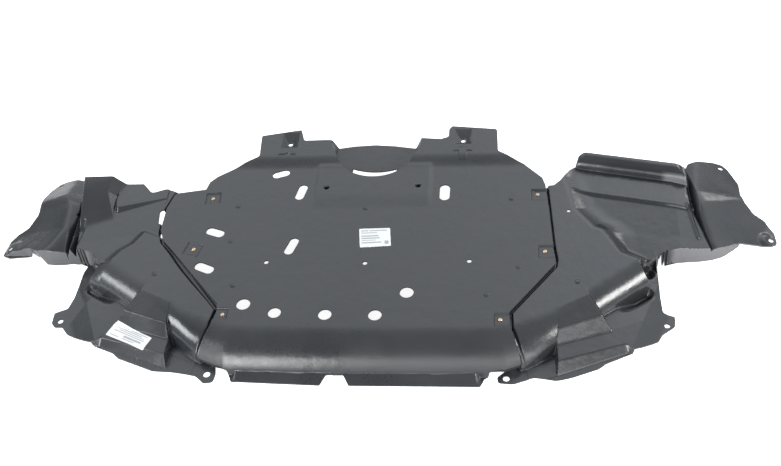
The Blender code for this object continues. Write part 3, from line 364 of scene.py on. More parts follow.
def lobe(x, y, back=0.0):
    """The front lobe of a side panel; back moves its bulge rearward."""
    across, along = lobe_frame(x, y)
    left_wall = SHEET + STEEP * np.maximum(-past(x, y, *BOX_LEFT), 0.0)
    box = lower(lobe_box(x, y, across), left_wall, 3.0)
    skirt = lower(lobe_skirt(x, y - back, across, along), left_wall, 2.0)
    end = 34.0 + 3.4 * past(x, y, *BULGE_END) + 3.0 * np.maximum(y - 8.0, 0.0)
    before = past(x, y - back, *BULGE)
    wall = BULGE_FOOT_Z + STEEP * (BULGE_WALL + 2.0 - before)
    bulge = lower(rolled(before + BULGE_EARLY, SIDE, BULGE_R), wall, 3.0)
    bulge = lower(bulge, end, 5.0)
    body = fallen(SIDE, rolled(roll_turn(x, y), SIDE), bulge)
    return higher(higher(body, box, 4.0), skirt, 3.0)


def bent(value, width):
    """0 where the value is negative and the value less a constant past width, with a round change."""
    t = np.clip(value, 0.0, width)
    return t * t / (2.0 * width) + np.maximum(value - width, 0.0)


def land(x, y, path, slope, soft):
    """The level field beside the tray, falling away past its boundary path."""
    return SIDE - slope * bent(-to_path(x, y, path), soft)


def beyond_seam(x, y):
    """Distance outward from the edge of the centre panel, negative under it."""
    return np.where(x > 0.0, -to_path(x, y, RIGHT_SEAM), to_path(x, y, LEFT_SEAM))


def seam_channel(x, y):
    """Depth of the channel that each side panel has along the edge of the centre panel."""
    wedge = WEDGE * (x < 0.0) * np.exp(-((y + 20.0) / 55.0) ** 2)
    out = (beyond_seam(x, y) - CHANNEL_OUT - wedge) / (CHANNEL_HALF + wedge)
    return CHANNEL_DEPTH * np.exp(-out ** 4)


def tongue_drop(x, y):
    """Depth by which a side panel's tongue drops to the floor under the centre panel's front corner."""
    return STEEP * bent(-beyond_seam(x, y) - 1.0, 2.0) * (1.0 - fade(y, -174.0, -160.0))


def lower_pads(x, y):
    """Depth of a side panel's pads, which end where the centre panel's edge does."""
    return rivet_pads(x, y, PAD_GROW, PAD_CLEAR) * (1.0 - fade(beyond_seam(x, y), 2.5, 6.0))


def soft_positive(value, width):
    """The value where it is positive and 0 where it is negative, with a round change."""
    return 0.5 * (value + np.sqrt(value * value + width * width))


def flap(x, y, crest, fold, slopes, crest_z):
    """The outer flap: a saddle falling outward from its crest, and rearward behind a fold."""
    outward = -to_path(x, y, crest)
    top = np.clip(crest_z[0] + crest_z[1] * (y - crest_z[2]), 28.0, 58.0)
    z = top - slopes[0] * soft_positive(outward, 8.0) - 0.25 * soft_positive(-outward, 8.0)
    return z - slopes[1] * soft_positive(-past(x, y, *fold), 12.0)


def roll_bar(x, y):
    """The round bar along the rear of the right wing, with rounded ends."""
    front = rolled(past(x, y, *BAR_FOOT) + BAR_R, BAR_TOP, BAR_R, FULL_TILT)
    ends = rolled(np.maximum(BAR_START - x, x - BAR_END) + BAR_R, BAR_TOP, BAR_R, FULL_TILT)
    return fallen(BAR_TOP, front, ends)


def right_wing(x, y):
    """Roll bar, ledge, bead, sloping plate and front strip, then the groove and the saddle flap."""
    before_bead = past(x, y, *BEAD)
    before_crease = past(x, y, *CREASE)
    share = np.clip(-before_crease / (before_bead - before_crease), 0.0, 1.0)
    z = STRIP_Z + (LEDGE_Z - STRIP_Z) * share - 0.07 * np.maximum(before_crease, 0.0)
    ends = fade(x, 388.0, 404.0) * (1.0 - fade(x, 606.0, 616.0))
    z = z + BEAD_RISE * np.exp(-(before_bead / BEAD_WIDE) ** 2) * ends
    border = np.exp(-(to_path(x, y, PLATE_BORDER) / BORDER_WIDE) ** 2)
    z = z + BORDER_RISE * border * (1.0 - fade(y, 158.0, 175.0))
    z = z - 0.13 * np.maximum(x - 590.0, 0.0)
    west = to_path(x, y, RIGHT_GROOVE)
    groove = GROOVE_Z - 0.12 * np.maximum(100.0 - y, 0.0)
    z = lower(z, groove + 2.2 * (west - 1.0), 3.0)
    z = higher(z, roll_bar(x, y), 3.0)
    saddle = flap(x, y, RIGHT_CREST, RIGHT_FOLD, *RIGHT_FLAP)
    saddle = lower(saddle, groove + 2.2 * (-west - 3.0), 7.0)
    return higher(z, saddle, 2.0)


def pleats(x, start, end):
    """Small upright pleats along a wall between two places."""
    wave = 0.5 - 0.5 * np.cos(2.0 * math.pi * (x - start) / PLEAT_PITCH)
    return PLEAT_DEPTH * wave * fade(x, start, start + 2.0) * (1.0 - fade(x, end - 2.0, end))


def right_height(x, y):
    """Top surface of the right panel."""
    wing = right_wing(x, y) + domes(x, y, RIGHT_TIP_PAD, TIP_R, TIP_RISE)
    before = to_path(x, y, RIGHT_FRONT) + pleats(x, 545.0, 566.0)
    wing = lower(wing, RIGHT_FRONT_Z - FRONT_WALL * before, 3.0)
    lip = LIP_Z - 1.6 * (33.0 - y) - STEEP * np.abs(past(x, y, *LIP))
    slope = 0.95 - 0.45 * fade(y, 30.0, 90.0)
    z = fallen(SIDE, land(x, y, RIGHT_LAND, slope, 14.0), lobe(x, y))
    z = higher(z, wing, 4.0 + 9.0 * fade(y, 30.0, 90.0))
    z = higher(z, lower(lip, LIP_Z, 2.0), 2.0)
    z = z - lower_pads(x, y) + domes(x, y, RIGHT_PIPS, PIP_R, PIP_H)
    z = z + domes(x, y, RIGHT_POCKET, POCKET_R, -POCKET_DEPTH) - seam_channel(x, y) - tongue_drop(x, y)
    return higher(z, SHEET, 2.0)


# Left wing, in mirrored coordinates, so that +X runs outward here as well
LEFT_LAND = ((395, 72), (404, 66), (446, 85), (460, 56), (481, 37), (494, 15))
LEFT_CREASE = ((460.0, 85.0), (586.0, 72.0))
RECESS_Z, RECESS_OUT, RECESS_BACK = 55.0, 0.066, 0.055
STEP_FOOT = ((416.0, 181.0), (526.0, 146.0))
STEP_TOP_Z = 60.5
ARCH_FRONT = ((524.0, 132.0), (593.0, 122.0))
ARCH_FOOT_Z, ARCH_SLOPE, ARCH_TOP = 50.5, 0.38, 84.0
STEP_END = 524.0
ARCH_FOOT = ((593.0, 124.0), (611.0, 226.0))      # valley between the arch and the saddle flap
ARCH_EDGE = ((524.0, 131.0), (545.0, 190.0), (539.0, 224.0))
LEFT_CREST = ((662, 345), (644, 215), (624, 168), (620, 113), (640, 69), (656, 50))
LEFT_FOLD = ((640.0, 188.0), (706.0, 205.0))
LEFT_SLOTS = (((607, 142), (607, 60)), ((585, 128), (590, 70)))
SLOT_FLOOR = 38.5
SLOT_RIB = ((598.0, 150.0), (597.0, 60.0))
LEFT_FRONT = (
    (300, 0), (480, 8), (531, 24), (546, 44), (566, 52), (583, 57), (600, 56), (640, 55),
    (666, 59), (690, 77), (704, 80), (790, 80),
)
LEFT_FRONT_Z = 45.0
LEFT_TIP_PAD = ((737.0, 92.0),)
SEAM_OUT = 420.0            # up to here the centre panel lies over the left one


def arch(x, y):
    """The tall arch at the rear of the left wing: a sloping face with a side that falls inward."""
    face = lower(ARCH_FOOT_Z - ARCH_SLOPE * past(x, y, *ARCH_FRONT), ARCH_TOP + 0.1 * (y - 215.0), 8.0)
    inside = face + 0.95 * np.minimum(to_path(x, y, ARCH_EDGE), 0.0)
    outer = 52.0 - 3.2 * past(x, y, *ARCH_FOOT)
    return lower(inside, outer, 8.0)


def left_wing(x, y):
    """Recess with a step and flange behind it, arch, two deep slots with a rib, saddle flap."""
    before_crease = past(x, y, *LEFT_CREASE)
    tilt = RECESS_BACK * np.maximum(-before_crease, 0.0)
    z = RECESS_Z - RECESS_OUT * (x - 420.0) + tilt
    ended = fade(x, STEP_END - 8.0, STEP_END + 8.0)
    behind = -past(x, y, *STEP_FOOT) * (1.0 - ended) - 8.0 * ended
    flange = lower(z + 1.3 * behind, STEP_TOP_Z, 3.0)
    z = higher(z, flange, 3.0)
    z = higher(z, arch(x, y), 3.0)
    z = lower(z, 50.0 - 3.6 * past(x, y, *ARCH_FOOT), 4.0)
    outer, inner = (to_path(x, y, line) for line in LEFT_SLOTS)
    depth = SLOT_FLOOR + 30.0 * fade(y, 105.0, 155.0)
    z = lower(z, depth + 1.8 * np.maximum(inner - 3.0, 0.0) + 40.0 * fade(y, 145.0, 175.0), 5.0)
    rib = 47.0 - 0.05 * np.maximum(120.0 - y, 0.0) - 2.6 * np.abs(past(x, y, *SLOT_RIB))
    z = higher(z, rib - 3.0 * np.maximum(y - 140.0, 0.0), 2.0)
    saddle = flap(x, y, LEFT_CREST, LEFT_FOLD, *LEFT_FLAP)
    saddle = lower(saddle, depth + 2.2 * (-outer - 3.0) + 20.0 * fade(y, 150.0, 190.0), 6.0)
    return higher(z, saddle, 2.0)


def left_height(x, y):
    """Top surface of the left panel."""
    out = -x
    wing = left_wing(out, y) + domes(out, y, LEFT_TIP_PAD, TIP_R, TIP_RISE)
    before = to_path(out, y, LEFT_FRONT) + pleats(out, 563.0, 584.0)
    wing = lower(wing, LEFT_FRONT_Z - FRONT_WALL * before, 3.0)
    lobe_x = np.where(out > STRETCH_FROM, STRETCH_FROM + (out - STRETCH_FROM) / LEFT_STRETCH, out)
    z = fallen(SIDE, land(out, y, LEFT_LAND, 0.62, 3.0), lobe(lobe_x, y - LEFT_BACK, BULGE_BACK))
    z = np.minimum(higher(z, wing, 4.0), SIDE + 1.5 * np.maximum(out - SEAM_OUT, 0.0))
    z = z - lower_pads(x, y) + domes(out, y, LEFT_PIPS, PIP_R, PIP_H)
    return higher(z - seam_channel(x, y) - tongue_drop(x, y), SHEET, 2.0)


RIGHT_OUTLINE = (
    (310, 196, 3), (308, 8, 6), (236, -100, 6), (237, -143, 5), (270, -145, 0), (274, -151, 0),
    (285, -176, 0), (269, -184, 3), (262, -204, 3), (248, -217, 6), (250, -228, 6),
    (276, -230, 20), (312, -216, 20), (352, -222, 30), (378, -215, 12), (425, -196, 6),
    (438, -185, 8), (502, -154, 20), (533, -136, 14), (541, -121, 8), (565, -102, 5),
    (567, -80, 4), (546, -74, 6), (544, -40, 30), (545, 16, 8), (547, 40, 3),
    (567, 46, 3), (588, 52, 8), (628, 55, 20), (650, 58.7, 12), (669, 65.5, 8), (691, 79, 6),
    (703, 86.5, 6), (740, 91, 10), (764, 91, 8), (776, 96, 8), (775, 125, 14), (762, 154, 8),
    (741, 165, 8), (727, 188, 20), (722, 210, 30), (725, 246, 30), (711, 294, 10), (702, 307, 8),
    (686, 311, 12), (654, 307, 12), (632, 300, 6), (622, 276, 3), (613, 248, 3), (422, 288, 5),
    (411, 283, 5), (405, 268, 4), (393, 256, 12), (373, 222, 10), (360, 208, 10), (344, 205, 4),
)
RIGHT_BOLTS = ((264, -219, 12), (551, -101, 10), (697, 294, 10), (766, 106, 10))
RIGHT_HOLES = ((385, 136, 7),)
RIGHT_PIPS = ((393, -44),)
LEFT_OUTLINE = (            # mirrored, as the left wing above
    (306, 188, 3), (306, 140, 6), (327, 104, 6), (327, 64, 6), (316, 48, 6), (316, 28, 6),
    (335, 8, 6), (334, -2, 4), (320, -22, 4), (236, -98, 6), (238, -131, 5), (265, -134, 0),
    (270, -148, 0), (285, -173, 0), (264, -182, 3), (259, -203, 3), (257, -214, 8),
    (259, -231, 8), (276, -234, 8), (294, -218, 14), (340, -210, 30), (376, -208, 16),
    (448, -180, 8), (462, -168, 8), (519, -145, 20), (562, -125, 10), (577, -108, 5),
    (592, -108, 5), (600, -99, 5), (602, -74, 5), (578, -63, 10), (573, -34, 20),
    (571, 30, 8), (567, 46, 3), (583, 53.9, 4), (640, 51.9, 12), (655, 54.2, 8), (668, 58.5, 8),
    (691, 75.5, 6), (704, 73.5, 8), (742, 70, 8), (757, 76, 6), (753, 115, 14), (742, 137, 8),
    (720, 146, 12), (702, 172, 16), (707, 222, 30), (704, 254, 14), (695, 280, 8), (682, 286, 8),
    (650, 287, 12), (628, 283, 8), (619, 252, 6), (610, 226, 3), (598, 222, 3), (541, 224, 12),
    (511, 223, 6), (479, 223, 5), (456, 196, 10), (428, 206, 10), (416, 205, 4), (402, 198, 3),
)
LEFT_BOLTS = ((273, -215, 13), (584, -94, 10.5), (685, 268, 10), (741, 87, 10))
LEFT_PIPS = ((400, -23),)
LEFT_SLIT = ((420, 130, 38, 13, 84), (411, 86, 16, 10, 70))


def arc_corner(before, corner, after, radius, step):
    """Points of a rounded outline corner, on a curve that touches both its edges."""
    here = np.array(corner, dtype=float)
    back, ahead = np.array(before) - here, np.array(after) - here
    back_length, ahead_length = np.hypot(*back), np.hypot(*ahead)
    opening = math.acos(max(-1.0, min(1.0, float(back @ ahead) / (back_length * ahead_length))))
    if radius <= 0.0 or opening > math.radians(176.0):
        return [corner]
    reach = min(radius / math.tan(opening / 2), 0.45 * back_length, 0.45 * ahead_length)
    start, end = here + back / back_length * reach, here + ahead / ahead_length * reach
    arc = (math.pi - opening) * reach * math.tan(opening / 2)
    count = max(1, math.ceil(arc / step))
    points = []
    for i in range(count + 1):
        t = i / count
        point = (1 - t) ** 2 * start + 2 * t * (1 - t) * here + t * t * end
        points.append((float(point[0]), float(point[1])))
    return points


def outline(corners):
    """A closed plan outline with rounded corners and no long stretches."""
    rounded = []
    total = len(corners)
    for i, (x, y, radius) in enumerate(corners):
        before, after = corners[i - 1][:2], corners[(i + 1) % total][:2]
        rounded.extend(arc_corner(before, (x, y), after, radius, ARC_STEP))
    points = []
    for i, (x, y) in enumerate(rounded):
        nx, ny = rounded[(i + 1) % len(rounded)]
        pieces = max(1, math.ceil(math.hypot(nx - x, ny - y) / LINE_STEP))
        points.extend((x + (nx - x) * k / pieces, y + (ny - y) * k / pieces) for k in range(pieces))
    return points


def arc_points(cx, cy, radius, start, end, steps=5):
    """Points of an arc between two angles in degrees."""
    angles = [math.radians(start + (end - start) * i / steps) for i in range(steps + 1)]
    return [(cx + radius * math.cos(a), cy + radius * math.sin(a)) for a in angles]


def ring(cx, cy, diameter, sides=36):
    """Corners of a round hole."""
    radius = diameter / 2
    angles = [2 * math.pi * i / sides for i in range(sides)]
    return [(cx + radius * math.cos(a), cy + radius * math.sin(a)) for a in angles]


def slot(cx, cy, length, width, degrees, per_end=19):
    """Corners of a round-ended slot."""
    reach, radius, turn = (length - width) / 2, width / 2, math.radians(degrees)
    points = []
    for end in (1, -1):
        for i in range(per_end):
            angle = math.pi * (i / (per_end - 1) - 0.5)
            u, v = end * (reach + radius * math.cos(angle)), end * radius * math.sin(angle)
            points.append((cx + u * math.cos(turn) - v * math.sin(turn),
                           cy + u * math.sin(turn) + v * math.cos(turn)))
    return points


def drain_slit():
    """The curved slit between the rim of the scoop and the front edge of its ramp."""
    cx, cy, radius = SCOOP
    right, length = SLIT_FRONT
    front = [right - length * i / 30 for i in range(31)]
    rim = arc_points(cx, cy, radius + SLIT_OUT, *SLIT_RIM, steps=45)
    return rim + [(x, SLIT_TOP + 5.0 + SLIT_BOW * x ** 2) for x in front]


def centre_loops():
    """Plan of the centre panel: its outline, then each hole."""
    loops = [outline(CENTRE_OUTLINE), drain_slit()]
    loops += [slot(*item) for item in SLOTS]
    loops += [ring(*item) for item in DRAINS + SMALL_HOLES + CENTRE_BOLTS]
    return loops + rivet_holes(RIVETS)


def right_loops():
    """Plan of the right panel."""
    loops = [outline(RIGHT_OUTLINE)] + [ring(*item) for item in RIGHT_BOLTS + RIGHT_HOLES]
    return loops + rivet_holes((4, 5, 6))


def left_loops():
    """Plan of the left panel, turned back from mirrored coordinates."""
    loops = [outline(LEFT_OUTLINE)] + [ring(*item) for item in LEFT_BOLTS]
    loops += [slot(*item) for item in LEFT_SLIT]
    loops = [[(-x, y) for x, y in loop] for loop in loops]
    return loops + rivet_holes((1, 2, 3))


def rivet_holes(numbers):
    """Holes for the rivets of the given numbers."""
    return [ring(*RIVETS[number], 2 * RIVET_HOLE_R) for number in numbers]


def inside_plan(x, y, loop):
    """Which points lie inside a closed plan loop."""
    odd = np.zeros(np.shape(x), dtype=bool)
    for (ax, ay), (bx, by) in zip(loop, loop[1:] + loop[:1]):
        if ay != by:
            crosses = (ay > y) != (by > y)
            odd ^= crosses & (x < (bx - ax) * (y - ay) / (by - ay) + ax)
    return odd


def origin_shift():
    """From the mould's coordinates to the frame's, found from where the first rivet stands."""
    low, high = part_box("rivet_1")
    x, y = RIVETS[1]
    return np.array([(low.x + high.x) / 2 - x * MM, (low.y + high.y) / 2 - y * MM, 0.0])


SHIFT = origin_shift()


def place(points):
    """Mould coordinates in millimetres as places in the frame, in metres."""
    return np.asarray(points, dtype=float) * MM + SHIFT


# Fine meshes of the panels

ARC_STEP, LINE_STEP = 1.6, 3.0          # spacing of the outline's points
CELLS = (9.6, 4.8, 2.4, 1.2, 0.6)       # sizes of the plan's cells, from level fields to sharp bends
BENDS = (0.035, 0.035, 0.035, 0.16)     # a cell is split where the surface bends more than this in it
EDGE_CLEAR = 0.6                        # the cells' points keep this far from the outline
STEEPEST = 4.0                          # upright thickness grows with the slope, up to this many times
PANELS = {
    "centre_panel": (centre_loops, centre_height),
    "right_panel": (right_loops, right_height),
    "left_panel": (left_loops, left_height),
}


def normals(height, x, y, h=0.3):
    """Unit normals of a surface, and its length over that of its plan."""
    gx = (height(x + h, y) - height(x - h, y)) / (2 * h)
    gy = (height(x, y + h) - height(x, y - h)) / (2 * h)
    steep = np.sqrt(1.0 + gx * gx + gy * gy)
    return np.stack([-gx, -gy, np.ones(len(x))], axis=1) / steep[:, None], steep


def bends(height, x, y, size):
    """How far the surface leaves a plane inside square cells of a size, measured across the sheet."""
    half = size / 2
    middle = height(x, y)
    worst = np.zeros(np.shape(x))
    for dx, dy in ((half, 0.0), (0.0, half), (half, half), (half, -half)):
        a, b = height(x + dx, y + dy), height(x - dx, y - dy)
        slope = (a - b) / (2.0 * math.hypot(dx, dy))
        worst = np.maximum(worst, np.abs(a + b - 2.0 * middle) / 2.0 / np.sqrt(1.0 + slope * slope))
    return worst


def graded_points(loops, height):
    """Plan points that lie closer together where the surface bends."""
    outer = np.array(loops[0])
    low, high = outer.min(axis=0), outer.max(axis=0)
    size = CELLS[0]
    x, y = np.meshgrid(np.arange(low[0], high[0] + size, size), np.arange(low[1], high[1] + size, size))
    x, y = x.ravel(), y.ravel()
    kept = []
    for size, limit in zip(CELLS, BENDS):
        split = bends(height, x, y, size) > limit
        kept.append(np.stack([x[~split], y[~split]], axis=1))
        quarter = size / 4
        x, y = (np.concatenate([v[split] + s * quarter for s in signs])
                for v, signs in ((x, (-1, 1, -1, 1)), (y, (-1, -1, 1, 1))))
    kept.append(np.stack([x, y], axis=1))
    return np.concatenate(kept)


def in_plan(points, loops):
    """Which points lie inside the outline and in none of its holes."""
    x, y = points[:, 0], points[:, 1]
    keep = inside_plan(x, y, loops[0])
    for loop in loops[1:]:
        keep &= ~inside_plan(x, y, loop)
    return keep


def edge_distance(x, y, loops, reach=3.0):
    """Distance of points to the nearest plan edge, exact up to a reach."""
    best = np.full(len(x), 1e9)
    order = np.argsort(x)
    ordered = x[order]
    for loop in loops:
        for p, q in zip(loop, loop[1:] + loop[:1]):
            lo, hi = np.searchsorted(ordered, (min(p[0], q[0]) - reach, max(p[0], q[0]) + reach))
            index = order[lo:hi]
            dx, dy = q[0] - p[0], q[1] - p[1]
            from_x, from_y = x[index] - p[0], y[index] - p[1]
            t = np.clip((from_x * dx + from_y * dy) / max(dx * dx + dy * dy, 1e-9), 0.0, 1.0)
            best[index] = np.minimum(best[index], np.hypot(from_x - t * dx, from_y - t * dy))
    return best


def plan_mesh(loops, height):
    """Points and triangles of the plan between its loops, all counterclockwise."""
    inner = graded_points(loops, height)
    inner = inner[in_plan(inner, loops)]
    inner = inner[edge_distance(inner[:, 0], inner[:, 1], loops) > EDGE_CLEAR]
    points, edges = [], []
    for loop in loops:
        first = len(points)
        points.extend(loop)
        edges.extend((first + i, first + (i + 1) % len(loop)) for i in range(len(loop)))
    vectors = [Vector(point) for point in points + inner.tolist()]
    verts, _, faces, _, _, _ = delaunay_2d_cdt(vectors, edges, [], 0, 1e-5)
    verts, faces = np.array([tuple(vert) for vert in verts]), np.array(faces)
    faces = faces[in_plan(verts[faces].mean(axis=1), loops)]
    a, b, c = verts[faces[:, 0]], verts[faces[:, 1]], verts[faces[:, 2]]
    area = (b[:, 0] - a[:, 0]) * (c[:, 1] - a[:, 1]) - (c[:, 0] - a[:, 0]) * (b[:, 1] - a[:, 1])
    faces[area < 0.0] = faces[area < 0.0][:, ::-1]
    return verts, faces


def rim_faces(faces, count):
    """The walls between upper face and underside, along every edge that has one triangle only."""
    directed = np.concatenate([faces[:, (0, 1)], faces[:, (1, 2)], faces[:, (2, 0)]])
    known = set(map(tuple, directed.tolist()))
    return [(q, p, p + count, q + count) for p, q in known if (q, p) not in known]


def rim_normals(verts, sides):
    """One level outward normal for each corner of the walls."""
    sides = np.array(sides)
    run = verts[sides[:, 1]] - verts[sides[:, 0]]
    outward = np.stack([-run[:, 1], run[:, 0], np.zeros(len(run))], axis=1)
    outward /= np.maximum(np.linalg.norm(outward, axis=1), 1e-9)[:, None]
    return np.repeat(outward, 4, axis=0)


def in_scene(name, data):
    """An object made from its data and linked to the scene."""
    item = bpy.data.objects.new(name, data)
    bpy.context.scene.collection.objects.link(item)
    return item


def panel_piece(node, material):
    """One moulded panel: upper face, underside and edge walls, with the surface's own normals."""
    make_loops, height = PANELS[node]
    plan, faces = plan_mesh(make_loops(), height)
    x, y = plan[:, 0], plan[:, 1]
    count = len(plan)
    top = height(x, y)
    normal, steep = normals(height, x, y)
    under = np.maximum(top - SHEET * np.minimum(steep, STEEPEST), 0.0)
    verts = np.concatenate([np.stack([x, y, top], axis=1), np.stack([x, y, under], axis=1)])
    sides = rim_faces(faces, count)
    mesh = bpy.data.meshes.new(node + "_skin")
    mesh.from_pydata(place(verts).tolist(), [], faces.tolist() + (faces[:, ::-1] + count).tolist() + sides)
    mesh.polygons.foreach_set("use_smooth", [True] * len(mesh.polygons))
    corner = np.zeros(len(mesh.loops), dtype=np.int64)
    mesh.loops.foreach_get("vertex_index", corner)
    split = np.concatenate([normal, -normal])[corner]
    split[6 * len(faces):] = rim_normals(verts, sides)
    mesh.normals_split_custom_set(split.tolist())
    mesh.materials.append(material)
    piece = in_scene(node + "_skin", mesh)
    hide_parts(node)
    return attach(piece, "root")


# Small pieces

TURN_STEPS = 40
RIVET_EDGE, TAIL_EDGE, WASHER_EDGE = 0.3, 0.5, 0.25     # radii of their rounded edges


def closed_piece(name, bm, material, sharp):
    """A piece from a closed mesh, smooth but for the edges sharper than an angle in degrees."""
    bmesh.ops.remove_doubles(bm, verts=bm.verts[:], dist=1e-6)
    bmesh.ops.recalc_face_normals(bm, faces=bm.faces[:])
    mesh = bpy.data.meshes.new(name)
    bm.to_mesh(mesh)
    bm.free()
    mesh.materials.append(material)
    mesh.shade_smooth()
    mesh.set_sharp_from_angle(angle=math.radians(sharp))
    return in_scene(name, mesh)


def turned_piece(name, profile, material):
    """A round piece, its closed profile of radius and height turned about the Z axis."""
    bm = bmesh.new()
    verts = [bm.verts.new((r * MM, 0.0, z * MM)) for r, z in profile]
    edges = [bm.edges.new((a, b)) for a, b in zip(verts, verts[1:])]
    if profile[0][0] > 0.0:
        edges.append(bm.edges.new((verts[-1], verts[0])))
    bmesh.ops.spin(bm, geom=verts + edges, cent=(0, 0, 0), axis=(0, 0, 1), angle=2 * math.pi,
                   steps=TURN_STEPS, use_merge=False)
    return closed_piece(name, bm, material, 35.0)


def rivet_profile():
    """Blind rivet: a low dome with the broken mandrel sunk in its middle, shank and tail."""
    head, tail = CONTACT, -(LAP + PAD_CLEAR + SHEET + WASHER_H + 2 * CONTACT)
    dome = RIVET_HEAD_H + head
    rim, end = RIVET_HEAD_R - RIVET_EDGE, RIVET_TAIL_R - TAIL_EDGE
    return (
        [(0.0, dome - 0.9), (0.75, dome - 0.9), (1.0, dome - 0.75), (1.15, dome - 0.1)]
        + arc_points(1.35, dome - 0.2, 0.2, 150.0, 75.0)
        + [(2.3, dome - 0.22), (3.1, dome - 0.62)]
        + arc_points(rim, head + 0.35, RIVET_EDGE, 50.0, -60.0)
        + [(rim, head), (RIVET_SHANK_R, head), (RIVET_SHANK_R, tail), (RIVET_TAIL_R - 0.3, tail)]
        + arc_points(end, tail - 0.9, TAIL_EDGE, 20.0, -70.0)
        + [(0.8 * RIVET_TAIL_R - 0.4, tail - 2.1), (0.0, tail - 2.4)]
    )


def washer_profile():
    """Flat washer with softly rounded edges."""
    top = -(LAP + PAD_CLEAR + SHEET + CONTACT)
    low, edge = top - WASHER_H, WASHER_EDGE
    inner, outer = RIVET_SHANK_R + CONTACT, WASHER_R - edge
    return (
        [(inner, low + edge), (inner, top - edge), (inner + edge, top), (outer, top)]
        + arc_points(outer, top - edge, edge, 75.0, 0.0)
        + arc_points(outer, low + edge, edge, 0.0, -75.0)
        + [(outer, low), (inner + edge, low)]
    )


def fasteners(brass, steel):
    """The rivets and their washers, each in its pad."""
    kinds = (("rivet", rivet_profile(), brass), ("washer", washer_profile(), steel))
    for number, (x, y) in RIVETS.items():
        pad = Matrix.Translation(Vector(place((x, y, TRAY - PAD_DEPTH))))
        for kind, profile, material in kinds:
            name = f"{kind}_{number}"
            piece = turned_piece(name + "_turned", profile, material)
            piece.data.transform(pad)
            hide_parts(name)
            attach(piece, "root")


STICKER_LIFT, STICKER_SHEET, STICKER_CORNER = 0.35, 0.15, 1.2
PRINT_LIFT, PRINT_SHEET, PRINT_CORNER = STICKER_LIFT + STICKER_SHEET + 0.10, 0.04, 0.3
STICKER_STEP = 1.5                      # size of a sticker's cells
WHOLE = (0.0, 0.0, 1.0, 1.0)            # a part of a sticker as shares (left, top, right, bottom)


def sticker(name, corners, height, material, box=WHOLE, lift=STICKER_LIFT, thick=STICKER_SHEET,
            corner=STICKER_CORNER):
    """A thin sheet over part of a sticker's field, following the panel, with rounded corners."""
    a, b, c, d = (np.array(point, dtype=float) for point in corners)
    wide, deep = np.hypot(*(b - a)), np.hypot(*(d - a))
    u0, v0, u1, v1 = box
    half_w, half_d = (u1 - u0) * wide / 2, (v1 - v0) * deep / 2
    across, down = (max(2, math.ceil(2 * half / STICKER_STEP)) for half in (half_w, half_d))
    s, t = np.meshgrid(np.linspace(-1, 1, across + 1), np.linspace(-1, 1, down + 1))
    radius = min(corner, half_w, half_d)
    inset = np.maximum(np.abs(t) * half_d - (half_d - radius), 0.0)
    reach = half_w - radius + np.sqrt(np.maximum(radius ** 2 - inset ** 2, 0.0))
    u = ((u0 + u1) / 2 + s * reach / wide)[..., None]
    v = ((v0 + v1) / 2 + t * half_d / deep)[..., None]
    plan = (a * (1 - u) + b * u) * (1 - v) + (d * (1 - u) + c * u) * v
    x, y = plan[..., 0].ravel(), plan[..., 1].ravel()
    normal, _ = normals(height, x, y, 1.0)
    ground = np.stack([x, y, height(x, y)], axis=1)
    places = place(np.concatenate([ground + normal * (lift + thick), ground + normal * lift]))
    count, row = len(x), across + 1
    cells = [j * row + i for j in range(down) for i in range(across)]
    faces = [(k, k + row, k + row + 1, k + 1) for k in cells]
    faces += [(k + count, k + 1 + count, k + row + 1 + count, k + row + count) for k in cells]
    border = (list(range(across)) + [j * row + across for j in range(down)]
              + [down * row + i for i in range(across, 0, -1)] + [j * row for j in range(down, 0, -1)])
    faces += [(p, q, q + count, p + count) for p, q in zip(border, border[1:] + border[:1])]
    bm = bmesh.new()
    verts = [bm.verts.new(point) for point in places.tolist()]
    for face in faces:
        bm.faces.new([verts[k] for k in face])
    return closed_piece(name, bm, material, 40.0)


# Plain grey bars on the stickers, each box as WHOLE says
CENTRE_BARS = (
    (0.06, 0.10, 0.30, 0.15), (0.34, 0.10, 0.90, 0.15), (0.06, 0.22, 0.58, 0.26), (0.06, 0.38, 0.62, 0.44),
    (0.06, 0.50, 0.66, 0.56), (0.06, 0.63, 0.52, 0.66), (0.06, 0.74, 0.70, 0.80), (0.80, 0.70, 0.93, 0.88),
)
LEFT_BARS = (
    (0.08, 0.10, 0.42, 0.15), (0.46, 0.10, 0.92, 0.15), (0.08, 0.22, 0.80, 0.27), (0.20, 0.34, 0.88, 0.39),
    (0.10, 0.46, 0.90, 0.52), (0.40, 0.60, 0.86, 0.74), (0.08, 0.80, 0.30, 0.86), (0.40, 0.80, 0.72, 0.86),
)


def stickers(paper, ink):
    """The two white stickers and their bars."""
    for name, corners, height, bars in (
        ("centre_label", CENTRE_LABEL, centre_height, CENTRE_BARS),
        ("left_label", LEFT_LABEL, left_height, LEFT_BARS),
    ):
        piece = sticker(name + "_sheet", corners, height, paper)
        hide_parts(name)
        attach(piece, "root")
        for number, box in enumerate(bars, 1):
            bar = sticker(f"{name}_bar_{number}", corners, height, ink, box,
                          PRINT_LIFT, PRINT_SHEET, PRINT_CORNER)
            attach(bar, "root")


# Materials

